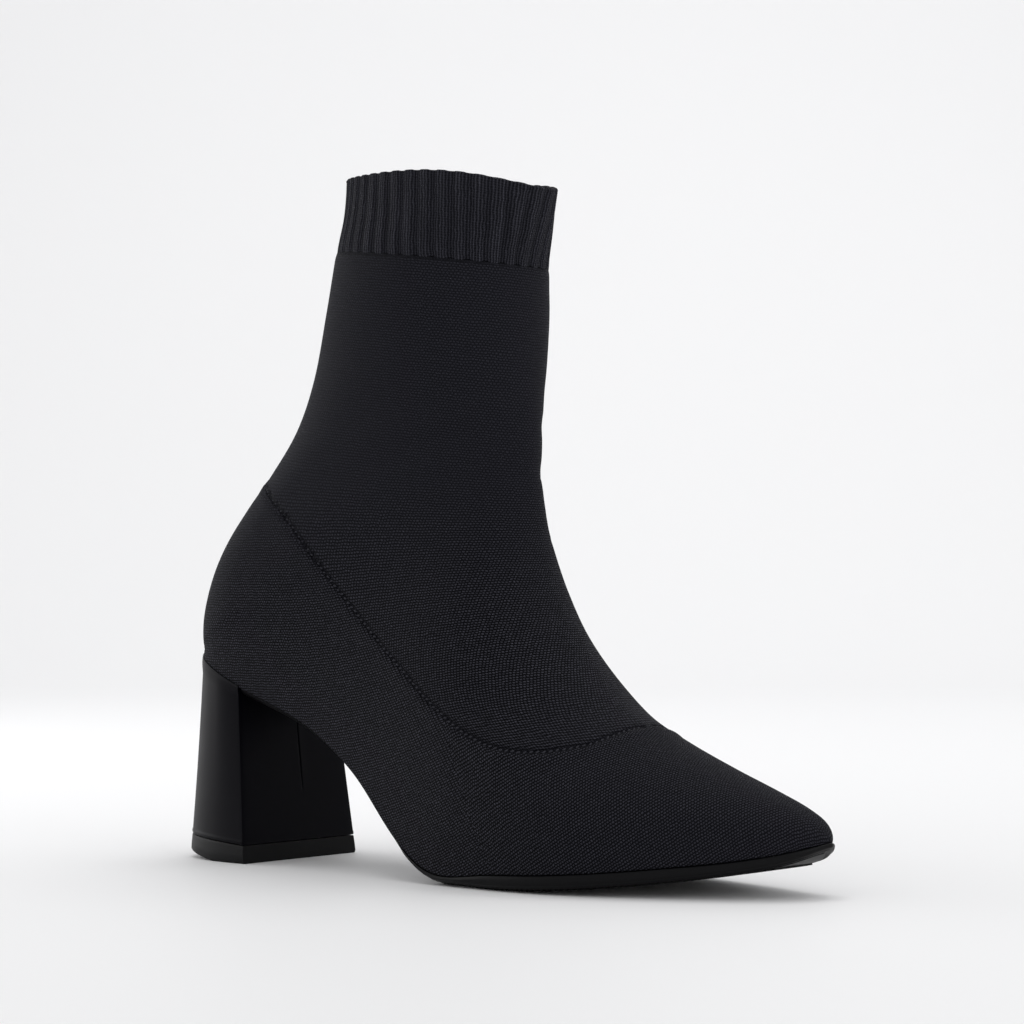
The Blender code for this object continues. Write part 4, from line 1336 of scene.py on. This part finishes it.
    def bar_tree(self, rubber):
        """Geometry tree that lays one bar across the sole at each point."""
        tree, inputs = node_group("tread_bars", Thick="NodeSocketFloat", Depth="NodeSocketFloat")
        cube = node(tree, "GeometryNodeMeshCube", {"Size": (1, 1, 1)})
        width, pitch = (
            node(tree, "GeometryNodeInputNamedAttribute", {"Name": title}, data_type="FLOAT")
            for title in ("width", "pitch")
        )
        size = node(tree, "ShaderNodeCombineXYZ", {"X": inputs["Thick"], "Y": width, "Z": inputs["Depth"]})
        down = node(tree, "ShaderNodeMath", {0: pitch, 1: -1.0}, operation="MULTIPLY")
        turn = node(tree, "ShaderNodeCombineXYZ", {"Y": down})
        points = node(tree, "GeometryNodeMeshToPoints", {"Mesh": inputs["Geometry"]})
        many = node(
            tree, "GeometryNodeInstanceOnPoints",
            {"Points": points, "Instance": cube, "Rotation": turn, "Scale": size},
        )
        end_group(tree, many, rubber)
        return tree


class HeelShape:
    """Outline of the heel at its foot and its seat, and the heights of the lift."""

    STEPS = 44

    def __init__(self):
        rows = np.linspace(row_at_station(BREAST_TOP), HEEL_BACK_ROW, 120)
        turn = np.linspace(math.pi / 2, 0, 120)
        depth = BREAST_FOOT - HEEL_BACK_FOOT
        foot_x = BREAST_FOOT - depth * np.cos(turn) ** (2 / HEEL_ROUNDNESS)
        foot_y = HEEL_FOOT_HALF_WIDTH * np.sin(turn) ** (2 / HEEL_ROUNDNESS)
        foot, seat = [], []
        for side, (line, _) in zip((-1, 1), feather_outline(rows)):
            upper_edge = np.column_stack([line, feather_height(line[:, 0]) - GAP])
            lower_edge = np.column_stack([foot_x, HEEL_FOOT_MIDDLE + side * foot_y, np.zeros(len(turn))])
            for edge, found in ((upper_edge, seat), (lower_edge, foot)):
                found.append(along(edge, np.linspace(0, run_along(edge)[-1], self.STEPS + 1)))
        self.foot, self.seat = [np.concatenate([pair[0], pair[1][-2::-1]]) for pair in (foot, seat)]
        station = self.foot[:, 0]
        back_share = (BREAST_FOOT - station) / depth
        spring_share = np.clip((LIFT_FLAT_END - station) / (LIFT_FLAT_END - HEEL_BACK_FOOT), 0, 1)
        self.underside = LIFT_SPRING * spring_share
        self.lift_top = LIFT + LIFT_RISE * back_share

    def ring(self, heights, bulge=0.0):
        """Outline at these heights, standing out by bulge."""
        ring = self.foot + (self.seat - self.foot) * (heights / self.seat[:, 2])[:, None]
        return self.stand_out(ring, bulge)

    def stand_out(self, ring, bulge):
        """The outline moved outwards by bulge."""
        run = np.gradient(ring[:, :2], axis=0)
        out = np.stack([run[:, 1], -run[:, 0]], axis=1)
        out /= np.linalg.norm(out, axis=1, keepdims=True)
        out *= np.sign((out * (ring[:, :2] - ring[:, :2].mean(axis=0))).sum())
        moved = ring.copy()
        moved[:, :2] += bulge * out
        return moved

    def lapped(self, share):
        """Line on the upper, this share of the way up from the seat to the edge of the cover."""
        sides = []
        rows = np.linspace(row_at_station(BREAST_TOP), HEEL_BACK_ROW + 0.4, 90)
        for side in (-1, 1):
            line = []
            for size in each_section(rows):
                section = half_section(size, side)
                back_share = np.clip((BREAST_TOP - section[:, 0]) / COVER_LAP_RUN, 0, 1)
                lap = COVER_LAP_BREAST + (COVER_LAP_BACK - COVER_LAP_BREAST) * back_share
                above = section[:, 2] - feather_height(section[:, 0]) - share * lap
                if above[0] < 0:
                    at = np.argmax(above > 0)
                    near = above[at] / (above[at] - above[at - 1])
                    line.append(section[at] + near * (section[at - 1] - section[at]))
            line.append((line[-1][0], section[0, 1], line[-1][2]))
            line = np.array(line)
            sides.append(along(line, np.linspace(0, run_along(line)[-1], self.STEPS + 1)))
        return np.concatenate([sides[0], sides[1][-2::-1]])

    def loop(self, ring, breast):
        """The outline closed across the breast, with points at these shares of its width."""
        inner, outer = ring[-1], ring[0]
        return np.concatenate([ring, inner + (outer - inner) * np.asarray(breast)[:, None]])

    def capped(self, loops, breast_count):
        """Faces between the loops, with the first and last one filled across."""
        count, size = loops.shape[:2]
        faces = [tuple(face) for face in strip_faces(count, size, closed_across=True)]
        outline = size - breast_count
        for start in (0, (count - 1) * size):
            for step in range(1, outline // 2 - 1):
                near, far = start + step, start + outline - 1 - step
                faces.append((near, near + 1, far - 1, far))
            middle = start + outline // 2
            faces.append((middle - 1, middle, middle + 1))
            breast = [start + outline + place for place in range(breast_count)]
            faces.append((start, start + 1, start + outline - 2, start + outline - 1, *breast))
        return faces


class BOOT_OT_covered_heel(bpy.types.Operator):
    """Covers the block heel: smooth sides, a joint down the breast and a rolled edge above the lift"""

    bl_idname = "boot.covered_heel"
    bl_label = "Covered heel"

    ROWS = 26
    # The rolled edge: mm above the lift, and out
    ROLL = ((0.0, -0.15), (0.35, 0.1), (0.8, 0.2), (1.2, 0.14), (1.6, 0.0), (2.0, 0.0))
    JOINT = 0.43  # share of the breast's width, from the inner side, where the cover's ends meet
    JOINT_END = 0.28  # share of the height where the joint fades out
    JOINT_DEPTH = 0.14
    JOINT_WIDTH = 0.2
    LAP = 0.1  # how far the upper one of the two ends stands out
    LAP_WIDTH = 1.6
    # Shares of the breast's width, close at the joint
    BREAST = (
        0.06, 0.15, 0.25, 0.35, 0.4, 0.415, 0.423, 0.427, 0.43, 0.433, 0.437, 0.445, 0.46, 0.475, 0.5, 0.6,
        0.7, 0.8, 0.9, 0.95,
    )
    ROUNDING = 1.6
    # The edge that laps over the upper: shares of the way up, and how far it stands out there
    EDGE_LAPS = ((0.3, 0.4), (0.65, 0.4), (0.95, 0.35), (1.0, 0.2))
    # and below the seat: how far down, and out
    EDGE_FOOT = ((2.6, 0.05), (1.3, 0.2), (0.0, 0.35))

    def execute(self, context):
        heel = HeelShape()
        cover = material("polyurethane_cover_calendered", cover_material, context.scene.boot_finish)
        low = heel.lift_top + GAP
        loops = [heel.loop(heel.ring(low + rise, out), self.BREAST) for rise, out in self.ROLL]
        rolled = low + self.ROLL[-1][0]
        for share in np.linspace(0, 1, self.ROWS)[1:]:
            ring = heel.ring(rolled + (heel.seat[:, 2] - rolled) * share)
            loop = heel.loop(ring, self.BREAST)
            loop[len(ring):, 0] += self.joint(share, np.linalg.norm(ring[0] - ring[-1]))
            loops.append(loop)
        loops = np.array(loops)
        faces = heel.capped(loops, len(self.BREAST))
        block = new_piece("covered_heel", loops.reshape(-1, 3), faces, [cover], smooth_angle=50)
        rounding = block.modifiers.new("rounding", "BEVEL")
        rounding.width = self.ROUNDING * MM
        rounding.segments = 5
        rounding.limit_method = "ANGLE"
        rounding.angle_limit = math.radians(55)
        plain_mesh(block)
        block.data.shade_smooth()
        block.data.set_sharp_from_angle(angle=math.radians(50))
        settle(block, "heel_block")
        self.edge(heel, cover)
        return {"FINISHED"}

    def joint(self, share, width):
        """How far the points of the breast stand out beside the joint, at this share of the height."""
        fade = np.clip((share - self.JOINT_END) / 0.1, 0, 1) * np.clip((1 - share) / 0.02, 0, 1)
        away = (np.array(self.BREAST) - self.JOINT) * width
        lap = self.LAP * np.clip(-away / self.JOINT_WIDTH, 0, 1) * np.clip(self.LAP_WIDTH + away, 0, 1)
        return fade * (lap - self.JOINT_DEPTH * bell(away, self.JOINT_WIDTH))

    def edge(self, heel, cover):
        """Thin edge of the cover that laps over the foot of the upper, highest at the back."""
        seat = heel.seat[:, 2]
        laps = [heel.lapped(share) for share, _ in self.EDGE_LAPS]
        outer = [heel.ring(seat - down, out) for down, out in self.EDGE_FOOT]
        outer += [heel.stand_out(lap, out) for lap, (_, out) in zip(laps, self.EDGE_LAPS)]
        inner = [heel.stand_out(lap, 0.05) for lap in laps[::-1]]
        inner += [heel.seat, heel.ring(seat - self.EDGE_FOOT[0][0], -0.3)]
        rings = np.array(outer + inner).transpose(1, 0, 2)
        edge = new_piece("cover_edge", rings.reshape(-1, 3), tube_faces(rings), [cover], smooth_angle=50)
        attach(edge, "root")


class BOOT_OT_heel_lift(bpy.types.Operator):
    """Moulds the lift that the heel stands on, with a soft edge at the floor"""

    bl_idname = "boot.heel_lift"
    bl_label = "Heel lift"

    BREAST = (0.1, 0.3, 0.5, 0.7, 0.9)  # shares of the breast's width
    # Shares of the lift's height, and how far it stands out there
    PROFILE = (
        (0.0, -0.7), (0.06, -0.25), (0.14, 0.0), (0.5, 0.05), (0.9, 0.0), (0.97, -0.06), (1.0, -0.25)
    )

    def execute(self, context):
        heel = HeelShape()
        name = "hard_rubber_moulded"
        rubber = material(name, rubber_material, context.scene.boot_finish, name, 0.5, 0.25, 0.04)
        loops = []
        for share, bulge in self.PROFILE:
            ring = heel.ring(heel.underside + (heel.lift_top - heel.underside) * share, bulge)
            loops.append(heel.loop(ring, self.BREAST))
        loops = np.array(loops)
        faces = heel.capped(loops, len(self.BREAST))
        lift = new_piece("rubber_lift", loops.reshape(-1, 3), faces, [rubber], smooth_angle=40)
        settle(lift, "heel_lift")
        return {"FINISHED"}


class BOOT_OT_insole_sock(bpy.types.Operator):
    """Lays the insole with its woven sock, softly crowned, inside the upper"""

    bl_idname = "boot.insole_sock"
    bl_label = "Insole"

    ACROSS = np.array([0.0, 0.02, 0.06, 0.15, 0.3, 0.5, 0.7, 0.85, 0.94, 0.98, 1.0])  # shares of its width
    EDGE_SHARE = 0.45  # of its thickness that is left at the edges

    def execute(self, context):
        sock = material("polyester_sock_woven", sock_material, context.scene.boot_finish)
        rows = np.linspace(1.0, HEEL_BACK_ROW, 150)
        edges = []
        for line, out in feather_outline(rows):
            plan = line - INSOLE_INSET * out
            edges.append(np.column_stack([plan, feather_height(plan[:, 0])]))
        rounded = 1 - (np.abs(2 * self.ACROSS - 1)) ** 8
        rings = []
        for outer, inner in zip(*edges):
            under = outer + (inner - outer) * self.ACROSS[:, None]
            over = under.copy()
            over[:, 2] += INSOLE * (self.EDGE_SHARE + (1 - self.EDGE_SHARE) * rounded)
            rings.append(np.concatenate([under, over[::-1]]))
        rings = np.array(rings)
        insole = new_piece("insole_sock", rings.reshape(-1, 3), tube_faces(rings), [sock], smooth_angle=40)
        settle(insole, "insole")
        return {"FINISHED"}


class BOOT_OT_stage(bpy.types.Operator):
    """Sets up the paper sweep, the soft studio light and the camera"""

    bl_idname = "boot.stage"
    bl_label = "Studio"

    # Each light: its power, size, place and target, in metres
    LIGHTS = (
        ("light_above", "key", 1.6, (0.35, 0.1, 1.5), (0.05, 0.0, 0.1)),
        ("light_heel_side", "side", 0.7, (-1.1, -0.25, 0.3), (-0.09, 0.0, 0.05)),
        ("light_toe_side", "front", 0.8, (1.25, -0.1, 0.3), (0.03, 0.0, 0.1)),
        ("light_backdrop", "backdrop", 1.5, (-0.4, 0.6, 2.3), (-1.4, 1.7, 0.5)),
    )

    def execute(self, context):
        scene, stage = context.scene, context.scene.boot_stage
        self.sweep(stage)
        camera = bpy.data.cameras.new("camera")
        camera.lens = stage.lens
        camera.sensor_width = 36
        camera.shift_x = stage.shift
        camera.clip_start = 0.01
        viewer = add_object("camera", camera)
        viewer.location = stage.camera_place
        viewer.rotation_euler = Euler((math.pi / 2 + stage.camera_pitch, 0, stage.camera_turn))
        scene.camera = viewer
        for name, power, size, place, target in self.LIGHTS:
            self.light(name, getattr(stage, power), size, Vector(place), Vector(target))
        world = bpy.data.worlds.new("studio_surround")
        world.use_nodes = True
        give(world.node_tree.nodes["Background"], {"Color": (1, 1, 1, 1), "Strength": stage.fill})
        scene.world = world
        scene.view_settings.view_transform = "Standard"
        return {"FINISHED"}

    def light(self, name, power, size, place, target):
        """A soft square light at this place, turned to its target."""
        lamp = bpy.data.lights.new(name, "AREA")
        lamp.energy = power
        lamp.size = size
        made = add_object(name, lamp)
        made.location = place
        made.rotation_euler = (target - place).to_track_quat("-Z", "Y").to_euler()

    def sweep(self, stage):
        """Paper that lies just under the boot and curves up behind it, square to the view."""
        before, behind, bend, height, half_width, drop = 4.0, 1.5, 0.8, 2.4, 4.0, 0.05 * MM
        bow = np.linspace(0, math.pi / 2, stage.bend_steps)
        line = [(-before, 0.0)]
        line += [(behind + bend * math.sin(turn), bend * (1 - math.cos(turn))) for turn in bow]
        line.append((behind + bend, height))
        ahead = np.array([-math.sin(stage.camera_turn), math.cos(stage.camera_turn)])
        side = np.array([ahead[1], -ahead[0]])
        points = []
        for depth, rise in line:
            for across in (-half_width, half_width):
                points.append((*(depth * ahead + across * side), rise - drop))
        mesh = bpy.data.meshes.new("paper_sweep")
        mesh.from_pydata(points, [], [tuple(face) for face in strip_faces(len(line), 2).tolist()])
        mesh.materials.append(paper_material(stage))
        mesh.shade_smooth()
        paper = add_object("paper_sweep", mesh)


STEPS = (
    BOOT_OT_knit_upper,
    BOOT_OT_rib_cuff,
    BOOT_OT_seam_stitches,
    BOOT_OT_moulded_sole,
    BOOT_OT_covered_heel,
    BOOT_OT_heel_lift,
    BOOT_OT_insole_sock,
    BOOT_OT_stage,
)


class BOOT_PT_pieces(bpy.types.Panel):
    """Lists the pieces of the boot, with their colours and sizes"""

    bl_idname = "BOOT_PT_pieces"
    bl_label = "Block heel ankle boot"
    bl_space_type = "VIEW_3D"
    bl_region_type = "UI"
    bl_category = "Boot"

    def draw(self, context):
        for step in STEPS:
            self.layout.operator(step.bl_idname)
        for group in (context.scene.boot_finish, context.scene.boot_stage):
            box = self.layout.box()
            for name in group.__annotations__:
                box.prop(group, name)


CLASSES = (BootFinish, BootStage, *STEPS, BOOT_PT_pieces)


def register():
    for item in CLASSES:
        bpy.utils.register_class(item)
    bpy.types.Scene.boot_finish = PointerProperty(type=BootFinish)
    bpy.types.Scene.boot_stage = PointerProperty(type=BootStage)


def unregister():
    del bpy.types.Scene.boot_stage
    del bpy.types.Scene.boot_finish
    for item in reversed(CLASSES):
        bpy.utils.unregister_class(item)


def main():
    register()
    bpy.ops.boot.knit_upper()
    bpy.ops.boot.rib_cuff()
    bpy.ops.boot.seam_stitches()
    bpy.ops.boot.moulded_sole()
    bpy.ops.boot.covered_heel()
    bpy.ops.boot.heel_lift()
    bpy.ops.boot.insole_sock()
    bpy.ops.boot.stage()


if __name__ == "__main__":
    main()
